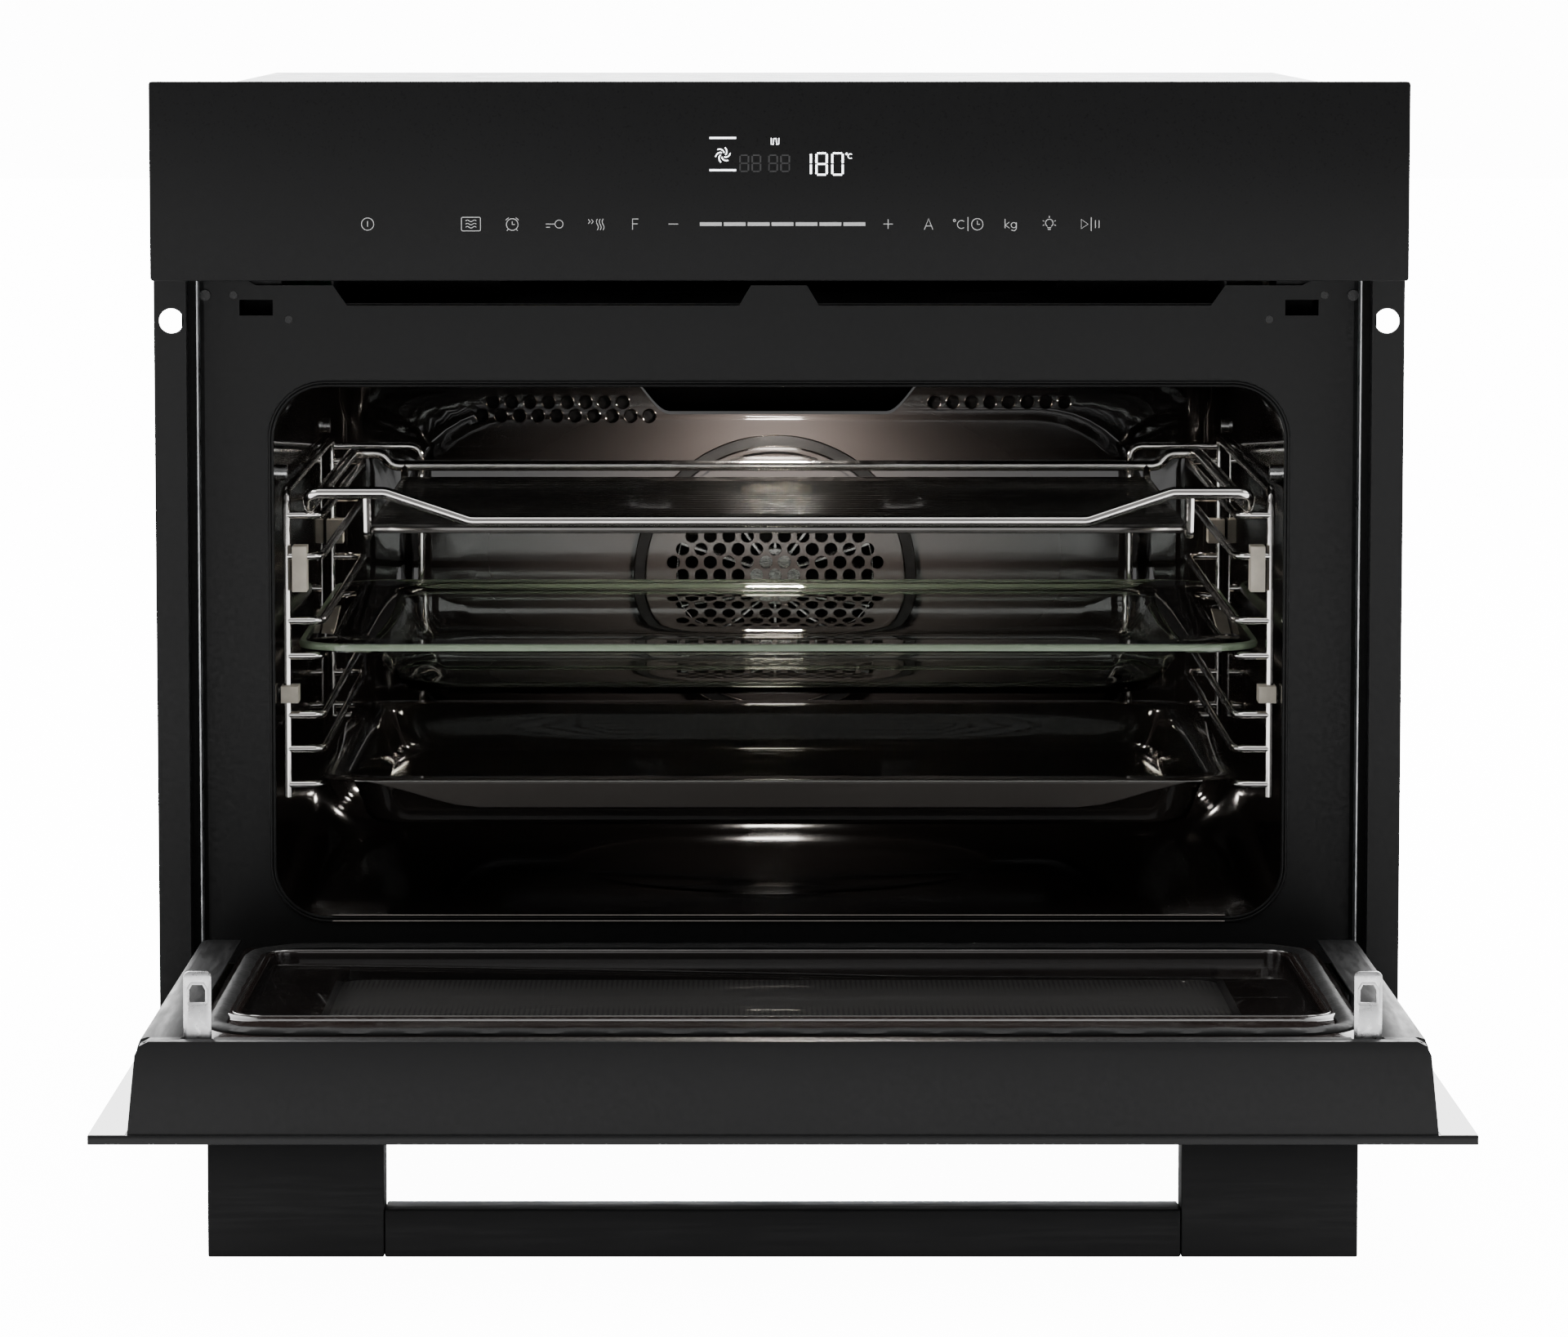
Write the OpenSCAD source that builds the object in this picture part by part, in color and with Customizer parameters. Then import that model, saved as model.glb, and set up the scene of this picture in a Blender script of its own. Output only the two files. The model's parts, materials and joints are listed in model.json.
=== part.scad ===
// Compact built-in combination oven with a drop-down door.
// X across the front, Y into the cabinet, Z up. The origin is on the base, in the plane of the front frame.

/* [Body] */
// Width of the glass fronts
front_w = 595; // [590:1:600]
// Height from the base to the top of the control panel
oven_h = 455; // [452:1:460]
// Width of the sheet-metal body that goes into the cabinet
body_w = 558; // [554:1:560]
// Depth of the body behind the front frame
body_d = 522; // [515:1:530]
// Thickness of the body sheets
sheet_t = 1; // [0.8:0.1:1.2]
// How far the glass fronts stand before the front frame
front_reach = 45; // [44:1:47]
// Thickness of the front glass
glass_t = 4; // [3.5:0.5:4]

/* [Control panel] */
// Height of the control panel glass
panel_h = 94; // [90:1:96]
// Gap between the control panel and the door
panel_gap = 4; // [3:1:6]

/* [Cavity] */
// Inner width of the cavity
cavity_w = 486; // [484:1:492]
// Inner height of the cavity
cavity_h = 257; // [255:1:264]
// Inner depth of the cavity
cavity_d = 400; // [398:1:402]
// Height of the cavity floor above the base
cavity_z = 51; // [47:1:52]
// Corner radius of the cavity mouth
cavity_r = 25; // [20:1:30]

/* [Door] */
// Angle of the open door from closed
door_open = 89; // [88:0.05:90]
// Height of the door hinge above the base
hinge_z = 20; // [20:0.5:21]
// Distance of the hinge before the front frame
hinge_y = -26.5; // [-27:0.5:-26]
// Overall width of the handle
handle_w = 494; // [480:1:500]
// How far the handle stands off the door glass
handle_reach = 50.5; // [48:0.5:55]

/* [Inside fittings] */
// Diameter of the ladder wire
ladder_wire = 4; // [3.5:0.5:4]
// Distance between the inner runners of the two ladders
runner_w = 444; // [442:1:446]
// Diameter of the fan cover holes
fan_hole_d = 7.2; // [6.5:0.1:7.5]

/* [Hidden] */
$fn = 48;

front_y = -front_reach;
glass_back_y = front_y + glass_t;
cabinet_y = -23;
swing_y = -10;
swing_z = 8;
fold_y = -12;
panel_z = oven_h - panel_h;
door_top_z = panel_z - panel_gap;
door_bottom_z = 5;
body_x = body_w / 2;
roof_z = oven_h - 5;
mouth_x = cavity_w / 2;
cavity_top_z = cavity_z + cavity_h;
cavity_mid_z = cavity_z + cavity_h / 2;
liner_t = 1;
fan_z = cavity_mid_z - 1;
runner_x = runner_w / 2;

latch_x = 251;
latch_z = 345;
strip_x = 297.8;
screw_hole_x = 289.5;
screw_hole_z = 341;
screw_hole_r = 5.9;

// ---------------------------------------------------------------- shapes

// A box given by its lowest and highest corners
module span(low, high) {
    translate(low)
        cube(high - low);
}

// A flat rectangle with round corners, centred
module round_rect(w, h, r) {
    square([w - 2 * r, h], center = true);
    square([w, h - 2 * r], center = true);
    for (x = [-1, 1], y = [-1, 1])
        translate([x * (w / 2 - r), y * (h / 2 - r)])
            circle(r);
}

// An upright slab: a flat shape drawn in X and Z, from y0 to y1
module slab(y0, y1) {
    translate([0, y1, 0])
        rotate([90, 0, 0])
            linear_extrude(y1 - y0)
                children();
}

// A disc or tube along Y
module disc_y(x, z, y0, y1, r) {
    translate([x, y1, z])
        rotate([90, 0, 0])
            cylinder(r = r, h = y1 - y0);
}

// A straight round bar between two points
module bar(a, b, d) {
    run = b - a;
    flat = norm([run.x, run.y]);
    translate(a)
        rotate([0, atan2(flat, run.z), atan2(run.y, run.x)])
            cylinder(d = d, h = norm(run), $fn = 20);
}

// A bent round wire through a list of points, with a ball at each bend
module wire(points, d) {
    for (i = [0 : len(points) - 2])
        bar(points[i], points[i + 1], d);
    for (i = [1 : 1 : len(points) - 2])
        translate(points[i])
            sphere(d = d * 1.04, $fn = 20);
}

module mirrored_pair() {
    children();
    mirror([1, 0, 0])
        children();
}

// Turns a part drawn on the closed door to where the open door holds it
module on_open_door() {
    translate([0, hinge_y, hinge_z])
        rotate([door_open, 0, 0])
            translate([0, -hinge_y, -hinge_z])
                children();
}

// ---------------------------------------------------------------- body
// The body keeps clear of the glass edge that swings under the hinge: nothing stands before swing_y
// lower than swing_z.

module base_pan() {
    lip = 12;
    color("dimgray") {
        span([-body_x, swing_y, 0], [body_x, body_d - 1, sheet_t]);
        span([-body_x + 2, body_d - 2, sheet_t], [body_x - 2, body_d - 1, lip]);
        mirrored_pair()
            span([body_x - 3, 2, sheet_t], [body_x - 2, body_d - 4, lip]);
    }
}

module side_panel() {
    vent_count = 6;
    vent_y = 380;
    vent_pitch = 18;
    vent_size = [10, 5, 80];
    color("silver")
        difference() {
            union() {
                span([body_x - sheet_t, fold_y, swing_z], [body_x, body_d - sheet_t, roof_z - sheet_t]);
                span([body_x - sheet_t, cabinet_y, panel_z], [body_x, 0, roof_z - sheet_t]);
                span([body_x - sheet_t, swing_y, sheet_t], [body_x, body_d - sheet_t, swing_z + 1]);
            }
            for (i = [0 : vent_count - 1])
                translate([body_x, vent_y + i * vent_pitch, roof_z - 30])
                    cube(vent_size, center = true);
        }
}

module side_panel_left() {
    mirror([1, 0, 0])
        side_panel();
}

module side_panel_right() {
    side_panel();
}

module top_cover() {
    rows = 8;
    color("silver")
        difference() {
            span([-body_x, cabinet_y, roof_z - sheet_t], [body_x, body_d - 1, roof_z]);
            for (x = [-150, 150], i = [0 : rows - 1])
                translate([x, 60 + i * 12, roof_z])
                    cube([90, 5, 6], center = true);
        }
}

module rear_cover() {
    color("silver")
        difference() {
            span([-body_x, body_d - 1, sheet_t], [body_x, body_d, roof_z - sheet_t]);
            for (x = [-160, 0, 160], i = [0 : 6])
                translate([x, body_d, 60 + i * 14])
                    cube([110, 6, 5], center = true);
            span([180, body_d - 4, 380], [240, body_d + 3, 420]);
        }
}

// Folded strips beside the body, with the cabinet screw holes
module mounting_strips() {
    groove_x = 282.5;
    strip_t = 2;
    strip_top = panel_z + 0.5;
    color([0.13, 0.13, 0.13])
        mirrored_pair()
            difference() {
                union() {
                    span([groove_x, cabinet_y - strip_t, swing_z], [strip_x, cabinet_y, strip_top]);
                    span([groove_x, cabinet_y, swing_z], [groove_x + 1, fold_y, strip_top]);
                    span([body_x, fold_y, swing_z], [groove_x + 1, fold_y + 1, strip_top]);
                }
                disc_y(screw_hole_x, screw_hole_z, cabinet_y - 5, cabinet_y + 3, screw_hole_r);
            }
}

// Screws of the front frame, in X and Z
frame_screws = [[261.8, 352], [235.4, 340.3]];

// The face that the door closes against
module front_frame() {
    frame_t = 1.2;
    frame_x = 276;
    slot_w = 16;
    slot_low = 342.2;
    slot_high = 349.8;
    vent_low = 347;
    color([0.14, 0.14, 0.14])
        difference() {
            span([-frame_x, 0, 28], [frame_x, frame_t, 359]);
            slab(-1, 3)
                translate([0, cavity_mid_z])
                    round_rect(cavity_w + 2 * liner_t, cavity_h + 2 * liner_t, cavity_r + liner_t);
            mirrored_pair() {
                span([latch_x - slot_w / 2, -1, slot_low], [latch_x + slot_w / 2, 3, slot_high]);
                slab(-1, 3)
                    polygon([[11.5, 360], [19.2, vent_low], [207.3, vent_low], [216.5, 360]]);
                for (place = frame_screws)
                    disc_y(place.x, place.y, -1, 3, 2);
            }
            slab(-1, 3)
                polygon([[-257, 360], [-251, 356.7], [251, 356.7], [257, 360]]);
        }
}

module case_screws() {
    color("black")
        mirrored_pair() {
            for (place = frame_screws)
                disc_y(place.x, place.y, -0.2, 3, 1.9);
            disc_y(275.4, frame_screws[0].y, -1.4, 0, 2.6);
            for (z = [40, 240, 430])
                disc_y(body_x - 12, z, body_d, body_d + 2, 3.5);
        }
}

// ---------------------------------------------------------------- control panel

module control_panel_glass() {
    color([0.12, 0.12, 0.12])
        slab(front_y, glass_back_y)
            translate([0, panel_z + panel_h / 2])
                round_rect(front_w, panel_h, 1.5);
}

// Shallow plastic tray that carries the panel glass
module control_panel_frame() {
    frame_x = 290;
    wall = 2;
    color([0.1, 0.1, 0.1])
        difference() {
            span([-frame_x, glass_back_y, panel_z + 1], [frame_x, cabinet_y - 0.5, oven_h - 2]);
            span([-frame_x + wall, glass_back_y + wall, panel_z + 1 + wall],
                [frame_x - wall, 0, oven_h - 2 - wall]);
            span([-45, glass_back_y - 1, 404], [60, glass_back_y + 3, 440]);
        }
}

module display_module() {
    color("darkgreen") {
        span([-44, glass_back_y, 405], [59, glass_back_y + 6, 439]);
        span([-60, glass_back_y + 6, 398], [75, glass_back_y + 8, 444]);
    }
}

module touch_board() {
    color("darkgreen")
        span([-205, glass_back_y + 2.1, 376], [165, glass_back_y + 4, 396]);
}

module power_board() {
    board_z = 345;
    color("darkgreen") {
        span([-262, 150, board_z], [-150, 300, board_z + 1.6]);
        span([-255, 160, board_z + 1.6], [-225, 195, board_z + 28]);
        for (i = [0 : 3])
            span([-215, 160 + i * 32, board_z + 1.6], [-195, 180 + i * 32, board_z + 18]);
        for (i = [0 : 2])
            translate([-170, 175 + i * 40, board_z + 1.6])
                cylinder(d = 16, h = 30);
    }
}

// ---------------------------------------------------------------- cavity

// The solid block of the cavity space, grown by a wall thickness
module cavity_block(grow, front) {
    rear_r = 38;
    w = cavity_w + 2 * grow;
    h = cavity_h + 2 * grow;
    d = cavity_d + grow - front;
    intersection() {
        slab(front, cavity_d + grow)
            translate([0, cavity_mid_z])
                round_rect(w, h, cavity_r + grow);
        translate([0, 0, cavity_z - grow - 1])
            linear_extrude(h + 2) {
                translate([0, front + (d - rear_r) / 2])
                    square([w + 2, d - rear_r], center = true);
                translate([0, cavity_d + grow - d / 2])
                    round_rect(w, d, rear_r);
            }
    }
}

lamp_x = 0;
lamp_y = 346;
sensor_x = -190;
sensor_y = 300;
stirrer_y = 225;

module cavity() {
    lip_w = 3;
    fan_open_r = 70;
    color([0.1, 0.09, 0.09])
        difference() {
            union() {
                cavity_block(liner_t, 0);
                slab(-0.5, 0)
                    translate([0, cavity_mid_z])
                        round_rect(cavity_w + 2 * lip_w, cavity_h + 2 * lip_w, cavity_r + lip_w);
            }
            cavity_block(0, -5);
            disc_y(0, fan_z, cavity_d - 2, cavity_d + 4, fan_open_r);
            upper_vents();
            translate([0, stirrer_y, cavity_top_z])
                cylinder(r = 30, h = 4, center = true);
            translate([lamp_x, lamp_y, cavity_top_z])
                cylinder(r = 14, h = 4, center = true);
            translate([sensor_x, sensor_y, cavity_top_z])
                cylinder(r = 3, h = 4, center = true);
        }
}

// Two short rows of air holes high on the left of the rear wall, one on the right
module upper_vents() {
    pitch = 10.1;
    vent_r = 3.5;
    rows = [[-153.6, 273.2, 8], [-159.4, 265.7, 10], [86.5, 273.2, 8]];
    for (row = rows, i = [0 : row[2] - 1])
        disc_y(row[0] + i * pitch, row[1], cavity_d - 3, cavity_d + 4, vent_r);
}

// Cover below the microwave inlet in the roof of the cavity
module ceiling_plate() {
    drop = 21;
    y0 = 110;
    y1 = 290;
    top_x = 78;
    low_x = 57;
    wall = 2;
    color([0.1, 0.1, 0.1])
        difference() {
            slab(y0, y1)
                polygon([[-top_x, cavity_top_z - 0.5], [-low_x, cavity_top_z - drop],
                    [low_x, cavity_top_z - drop], [top_x, cavity_top_z - 0.5]]);
            slab(y0 + 2 * wall, y1 - 2 * wall)
                polygon([[-top_x + 2 * wall, cavity_top_z + 1], [-low_x + wall, cavity_top_z - drop + wall],
                    [low_x - wall, cavity_top_z - drop + wall], [top_x - 2 * wall, cavity_top_z + 1]]);
        }
}

// Perforated round plate over the fan, with a pressed rim
module fan_cover() {
    plate_r = 77;
    field_r = 58;
    pitch_x = 10.1;
    pitch_z = 7.13;
    rows = 17;
    cols = 13;
    color([0.12, 0.11, 0.11]) {
        difference() {
            disc_y(0, fan_z, cavity_d - 1.2, cavity_d, plate_r);
            for (j = [0 : rows - 1], i = [0 : cols - 1]) {
                x = (i - (cols - 1) / 2) * pitch_x + (j % 2) * pitch_x / 2;
                z = (j - (rows - 1) / 2) * pitch_z;
                if (norm([x, z]) < field_r)
                    disc_y(x, fan_z + z, cavity_d - 3, cavity_d + 1, fan_hole_d / 2);
            }
        }
        for (r = [70, plate_r])
            difference() {
                disc_y(0, fan_z, cavity_d - 2.8, cavity_d - 1.1, r);
                disc_y(0, fan_z, cavity_d - 4, cavity_d, r - 2);
            }
    }
}

ring_r = 76;
lead_x = 8;

module fan_chamber() {
    outer_r = 98;
    depth = 42;
    color("gray")
        difference() {
            disc_y(0, fan_z, cavity_d + liner_t, cavity_d + liner_t + depth, outer_r);
            disc_y(0, fan_z, cavity_d, cavity_d + liner_t + depth - 1, outer_r - 1);
            disc_y(0, fan_z, cavity_d + 20, cavity_d + liner_t + depth + 2, 7);
            for (x = [-lead_x, lead_x])
                disc_y(x, fan_z + ring_r - 1, cavity_d + 30, cavity_d + 50, 3.5);
        }
}

module convection_fan() {
    blades = 10;
    blade_in = 14;
    blade_out = 54;
    blade_y0 = cavity_d + 6;
    blade_y1 = cavity_d + 26;
    shaft_end = cavity_d + 62;
    color("silver") {
        disc_y(0, fan_z, blade_y1 - 1, blade_y1, blade_out);
        disc_y(0, fan_z, cavity_d + 4, blade_y1 + 4, blade_in);
        disc_y(0, fan_z, blade_y1, shaft_end, 3);
        for (i = [0 : blades - 1])
            translate([0, 0, fan_z])
                rotate([0, i * 360 / blades, 0])
                    span([-0.6, blade_y0, blade_in - 1], [0.6, blade_y1, blade_out]);
    }
}

module convection_motor() {
    motor_y0 = cavity_d + liner_t + 43;
    motor_y1 = motor_y0 + 46;
    color("gray")
        difference() {
            union() {
                disc_y(0, fan_z, motor_y0, motor_y1, 32);
                span([-58, motor_y0, fan_z - 12], [58, motor_y0 + 2, fan_z + 12]);
            }
            disc_y(0, fan_z, motor_y0 - 2, motor_y1 - 8, 3.05);
        }
}

module ring_heater() {
    tube_d = 6.5;
    ring_y = cavity_d + 20;
    color("dimgray") {
        translate([0, ring_y, fan_z])
            rotate([90, 0, 0])
                rotate_extrude()
                    translate([ring_r, 0])
                        circle(d = tube_d, $fn = 24);
        for (x = [-lead_x, lead_x])
            disc_y(x, fan_z + ring_r - 1, ring_y + 1, cavity_d + 60, tube_d / 2 - 0.3);
    }
}

module top_heater() {
    heater_z = cavity_top_z + 6;
    color("dimgray")
        for (side = [-1, 1]) {
            wire([[side * 100, 60, heater_z], [side * 100, 250, heater_z], [side * 130, 250, heater_z],
                [side * 130, 60, heater_z], [side * 160, 60, heater_z], [side * 160, 250, heater_z]], 6.5);
        }
}

module lamp_holder() {
    color("beige")
        translate([lamp_x, lamp_y, cavity_top_z])
            difference() {
                translate([0, 0, liner_t])
                    cylinder(r = 20, h = 23);
                cylinder(r = 15, h = 20);
            }
}

module lamp_lens() {
    color("white")
        translate([lamp_x, lamp_y, cavity_top_z - 3]) {
            cylinder(r = 13.6, h = 8);
            cylinder(r = 17, h = 3);
        }
}

module temperature_sensor() {
    color("silver")
        translate([sensor_x, sensor_y, cavity_top_z]) {
            translate([0, 0, -18])
                cylinder(r = 2.6, h = 22);
            translate([0, 0, liner_t])
                cylinder(r = 7, h = 4);
        }
}

// Glass-wool blanket around the cavity
module insulation() {
    inner_gap = 2;
    outer_x = 270;
    color("khaki")
        difference() {
            span([-outer_x, 6, 26], [outer_x, cavity_d - 6, cavity_top_z + 24]);
            span([-mouth_x - inner_gap, 0, cavity_z - inner_gap], [mouth_x + inner_gap, cavity_d, cavity_top_z + 12]);
            span([-36, stirrer_y - 40, cavity_top_z], [36, stirrer_y + 40, cavity_top_z + 30]);
            translate([lamp_x, lamp_y, cavity_top_z])
                cylinder(r = 22, h = 50);
            translate([sensor_x, sensor_y, cavity_top_z])
                cylinder(r = 8, h = 50);
            mirrored_pair()
                span([226, 0, 20], [280, 66, 50]);
        }
}

// ---------------------------------------------------------------- ladders

rung_z = [112, 129.5, 146.2, 175, 192.3, 223.8, 243.9];
post_x = 239;
post_front_y = 26;
post_rear_y = 362;
post_low_z = 106;
post_high_z = 256;

// One side ladder: front and rear posts, a loop beside the rear post, and bent rungs
module ladder(wire_d) {
    loop_x = 191;
    loop_z = 252;
    union() {
        wire([[post_x, post_front_y, post_low_z], [post_x, post_front_y, post_high_z],
            [post_x, post_rear_y, post_high_z], [post_x, post_rear_y, post_low_z]], wire_d);
        for (z = rung_z)
            wire([[post_x, post_front_y, z], [runner_x, post_front_y, z], [runner_x, post_rear_y, z],
                [post_x, post_rear_y, z]], wire_d);
        wire([[post_x, post_rear_y, loop_z], [loop_x, post_rear_y, loop_z],
            [loop_x, post_rear_y, post_low_z], [post_x, post_rear_y, post_low_z]], wire_d);
    }
}

module ladder_right() {
    color("silver")
        ladder(ladder_wire);
}

module ladder_left() {
    color("silver")
        mirror([1, 0, 0])
            ladder(ladder_wire);
}

// Ceramic blocks that hold the ladders off the cavity walls
module ladder_spacers() {
    block_l = 14;
    blocks = [[229, 236, post_front_y, 207, 229], [233.4, 241.8, post_front_y, 152.7, 160.7],
        [233, 241.8, post_rear_y, 200, 212.6], [233, 241.8, post_rear_y, 150, 163]];
    color("wheat")
        mirrored_pair()
            difference() {
                for (b = blocks)
                    span([b[0], b[2] - block_l / 2, b[3]], [b[1], b[2] + block_l / 2, b[4]]);
                for (y = [post_front_y, post_rear_y])
                    translate([post_x, y, 100])
                        cylinder(d = ladder_wire + 0.04, h = 160, $fn = 20);
                bar([225, post_front_y, rung_z[5]], [post_x, post_front_y, rung_z[5]], ladder_wire + 0.04);
            }
}

module ladder_screws() {
    color("silver")
        mirrored_pair()
            for (y = [post_front_y + 8, post_rear_y - 12])
                translate([mouth_x - 4, y, post_high_z + 8])
                    rotate([0, 90, 0])
                        cylinder(d = 8, h = 4);
}

// ---------------------------------------------------------------- machinery above the cavity

duct_z0 = 347;
duct_z1 = 440;

module air_duct() {
    wall = 1;
    color("gray")
        difference() {
            span([-215, 3, duct_z0], [215, 100, duct_z1]);
            span([-215 + wall, 2, duct_z0 + wall], [215 - wall, 99, duct_z1 - wall]);
            span([-138, 90, duct_z0 + wall], [138, 101, duct_z1 - wall]);
        }
}

module blower_housing() {
    color("gray")
        difference() {
            span([-140, 101, duct_z0], [140, 186, duct_z1]);
            span([-138, 100, duct_z0 + 1], [138, 184, duct_z1 - 1]);
            translate([-150, 144, 402])
                rotate([0, 90, 0])
                    cylinder(r = 4, h = 300);
            for (x = [-100, 0, 100])
                span([x - 35, 180, duct_z0 + 14], [x + 35, 190, duct_z1 - 14]);
        }
}

module blower_wheel() {
    blades = 18;
    wheel_r = 30;
    color("silver")
        translate([0, 144, 402])
            rotate([0, 90, 0]) {
                for (x = [-130, 0, 128])
                    translate([0, 0, x])
                        cylinder(r = wheel_r, h = 2);
                for (i = [0 : blades - 1])
                    rotate([0, 0, i * 360 / blades])
                        translate([wheel_r - 9, -0.5, -129])
                            cube([8, 1, 258]);
                translate([0, 0, -130])
                    cylinder(r = 3, h = 300);
            }
}

module blower_motor() {
    color("dimgray")
        translate([148, 144, 402])
            rotate([0, 90, 0])
                difference() {
                    cylinder(r = 28, h = 34);
                    translate([0, 0, -1])
                        cylinder(r = 3.05, h = 30);
                }
}

guide_z = cavity_top_z + 25;
guide_top_z = guide_z + 15;

module magnetron() {
    color("silver") {
        span([-42, 256, guide_top_z], [42, 328, 418]);
        translate([0, 292, 418])
            cylinder(d = 30, h = 12);
        for (i = [0 : 4])
            span([-37 + i * 18, 252, 356], [-35 + i * 18, 332, 414]);
    }
}

module waveguide() {
    color("silver")
        difference() {
            span([-42, 188, guide_z], [42, 340, guide_top_z]);
            span([-41, 189, guide_z + 1], [41, 339, guide_top_z - 1]);
            translate([0, stirrer_y, guide_z - 5])
                cylinder(r = 6, h = 30);
        }
}

module mode_stirrer() {
    blades = 3;
    color("silver")
        translate([0, stirrer_y, 0]) {
            translate([0, 0, cavity_top_z - 6])
                cylinder(r = 3, h = 52);
            translate([0, 0, cavity_top_z - 8])
                cylinder(r = 8, h = 3);
            for (i = [0 : blades - 1])
                rotate([0, 0, i * 360 / blades])
                    translate([4, -8, cavity_top_z - 7])
                        cube([40, 16, 1]);
        }
}

module stirrer_motor() {
    color("dimgray")
        translate([0, stirrer_y, guide_top_z])
            difference() {
                cylinder(r = 24, h = 10);
                translate([0, 0, -1])
                    cylinder(r = 3.05, h = 8);
            }
}

module hv_transformer() {
    color("dimgray") {
        span([150, 220, 338], [250, 310, 352]);
        span([160, 228, 352], [240, 302, 400]);
        span([172, 218, 356], [228, 228, 396]);
        span([172, 302, 356], [228, 312, 396]);
    }
}

module hv_capacitor() {
    color("silver")
        translate([-90, 0, 0]) {
            span([-50, 360, 340], [50, 410, 372]);
            span([-52, 356, 338], [52, 414, 340]);
        }
}

module terminal_block() {
    color("beige") {
        span([182, body_d - 24, 382], [238, body_d - 1, 418]);
        for (i = [0 : 2])
            span([188 + i * 16, body_d - 1, 392], [198 + i * 16, body_d + 1, 408]);
    }
}

module latch_switches() {
    color("black")
        mirrored_pair()
            difference() {
                span([latch_x - 12, 4, 336], [latch_x + 12, 46, 359]);
                span([latch_x - 9, 0, 341.5], [latch_x + 9, 38, 351]);
            }
}

// ---------------------------------------------------------------- hinges

arm_x0 = 236;
arm_x1 = 240;
pin_r = 3;

module hinge_receivers() {
    color("dimgray")
        mirrored_pair()
            difference() {
                union() {
                    for (x = [arm_x0 - 3, arm_x1 + 1]) {
                        span([x, -32, swing_z], [x + 2, 60, 27]);
                        span([x, swing_y, sheet_t], [x + 2, 60, swing_z + 1]);
                    }
                    span([arm_x0 - 2, 20, sheet_t], [arm_x1 + 2, 60, 6]);
                }
                translate([arm_x0 - 10, hinge_y, hinge_z])
                    rotate([0, 90, 0])
                        cylinder(r = pin_r + 0.02, h = 30);
            }
}

module hinge_pins() {
    color("silver")
        mirrored_pair()
            translate([arm_x0 - 5, hinge_y, hinge_z])
                rotate([0, 90, 0]) {
                    cylinder(r = pin_r, h = arm_x1 - arm_x0 + 10);
                    cylinder(r = pin_r + 1.5, h = 1.5);
                }
}

// Flat steel arms inside the door that turn on the hinge pins
module hinge_arms() {
    color("gray")
        on_open_door()
            mirrored_pair()
                difference() {
                    union() {
                        span([arm_x0, hinge_y - 7, hinge_z], [arm_x1, hinge_y + 7, 150]);
                        span([arm_x0, hinge_y + 6, 50], [arm_x1, -14, 150]);
                        translate([arm_x0, hinge_y, hinge_z])
                            rotate([0, 90, 0])
                                cylinder(r = 7, h = arm_x1 - arm_x0);
                    }
                    translate([arm_x0 - 1, hinge_y, hinge_z])
                        rotate([0, 90, 0])
                            cylinder(r = pin_r + 0.06, h = 10);
                }
}

// ---------------------------------------------------------------- door, drawn closed

rail_x = 280.6;
lip_x = 277.2;
lip_y = -0.6;
cover_low_z = 343;
rail_low_z = 37;
inner_frame_x = 256;

module door_outer_glass() {
    color([0.12, 0.12, 0.12])
        on_open_door()
            slab(front_y, glass_back_y)
                translate([0, (door_top_z + door_bottom_z) / 2])
                    round_rect(front_w, door_top_z - door_bottom_z, 2);
}

// End cap along the top edge of the door
module door_top_cover() {
    wall = 2;
    corner = 6;
    color([0.15, 0.15, 0.15])
        on_open_door()
            difference() {
                translate([0, 0, cover_low_z])
                    linear_extrude(door_top_z - 1 - cover_low_z)
                        polygon([[-rail_x, glass_back_y], [rail_x, glass_back_y],
                            [lip_x, lip_y - corner], [lip_x - corner, lip_y],
                            [-lip_x + corner, lip_y], [-lip_x, lip_y - corner]]);
                span([-lip_x + wall, glass_back_y + wall, cover_low_z - 1],
                    [lip_x - wall, lip_y - wall, door_top_z - 1 - wall]);
                mirrored_pair()
                    span([latch_x - 7, -22, cover_low_z - 2], [latch_x + 7, 2, cover_low_z + 5]);
            }
}

module door_side_rails() {
    inner_x = 257;
    wall = 1.2;
    color([0.55, 0.55, 0.55])
        on_open_door()
            mirrored_pair()
                translate([0, 0, rail_low_z])
                    linear_extrude(cover_low_z - rail_low_z)
                        difference() {
                            polygon([[inner_x, glass_back_y], [rail_x, glass_back_y],
                                [lip_x, -5], [lip_x - 4, lip_y], [inner_x, lip_y]]);
                            polygon([[inner_x - 1, glass_back_y + wall], [rail_x - wall, glass_back_y + wall],
                                [lip_x - wall, -5 - wall], [lip_x - 4 - wall, lip_y - wall],
                                [inner_x - 1, lip_y - wall]]);
                        }
}

module door_bottom_rail() {
    color([0.1, 0.1, 0.1])
        on_open_door()
            span([-230, glass_back_y, rail_low_z], [230, -14, rail_low_z + 12]);
}

window_x = 205;
window_low = 78;
window_high = 262;
step_low = 60.5;
step_high = 275.5;

// Enamelled inner frame that carries the inner glass and chokes the microwaves
module door_inner_frame() {
    step_x = 245.5;
    rim = 6;
    color([0.12, 0.1, 0.09])
        on_open_door()
            difference() {
                union() {
                    span([-inner_frame_x, -14, rail_low_z], [inner_frame_x, -4, cover_low_z]);
                    slab(-4, -2)
                        translate([0, (step_low + step_high) / 2])
                            round_rect(2 * step_x, step_high - step_low, 18);
                }
                slab(-20, 0)
                    translate([0, (window_low + window_high) / 2])
                        round_rect(2 * window_x, window_high - window_low, 12);
                slab(-6, -1)
                    translate([0, (step_low + step_high) / 2])
                        round_rect(2 * (step_x - rim), step_high - step_low - 2 * rim, 12);
            }
}

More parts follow.
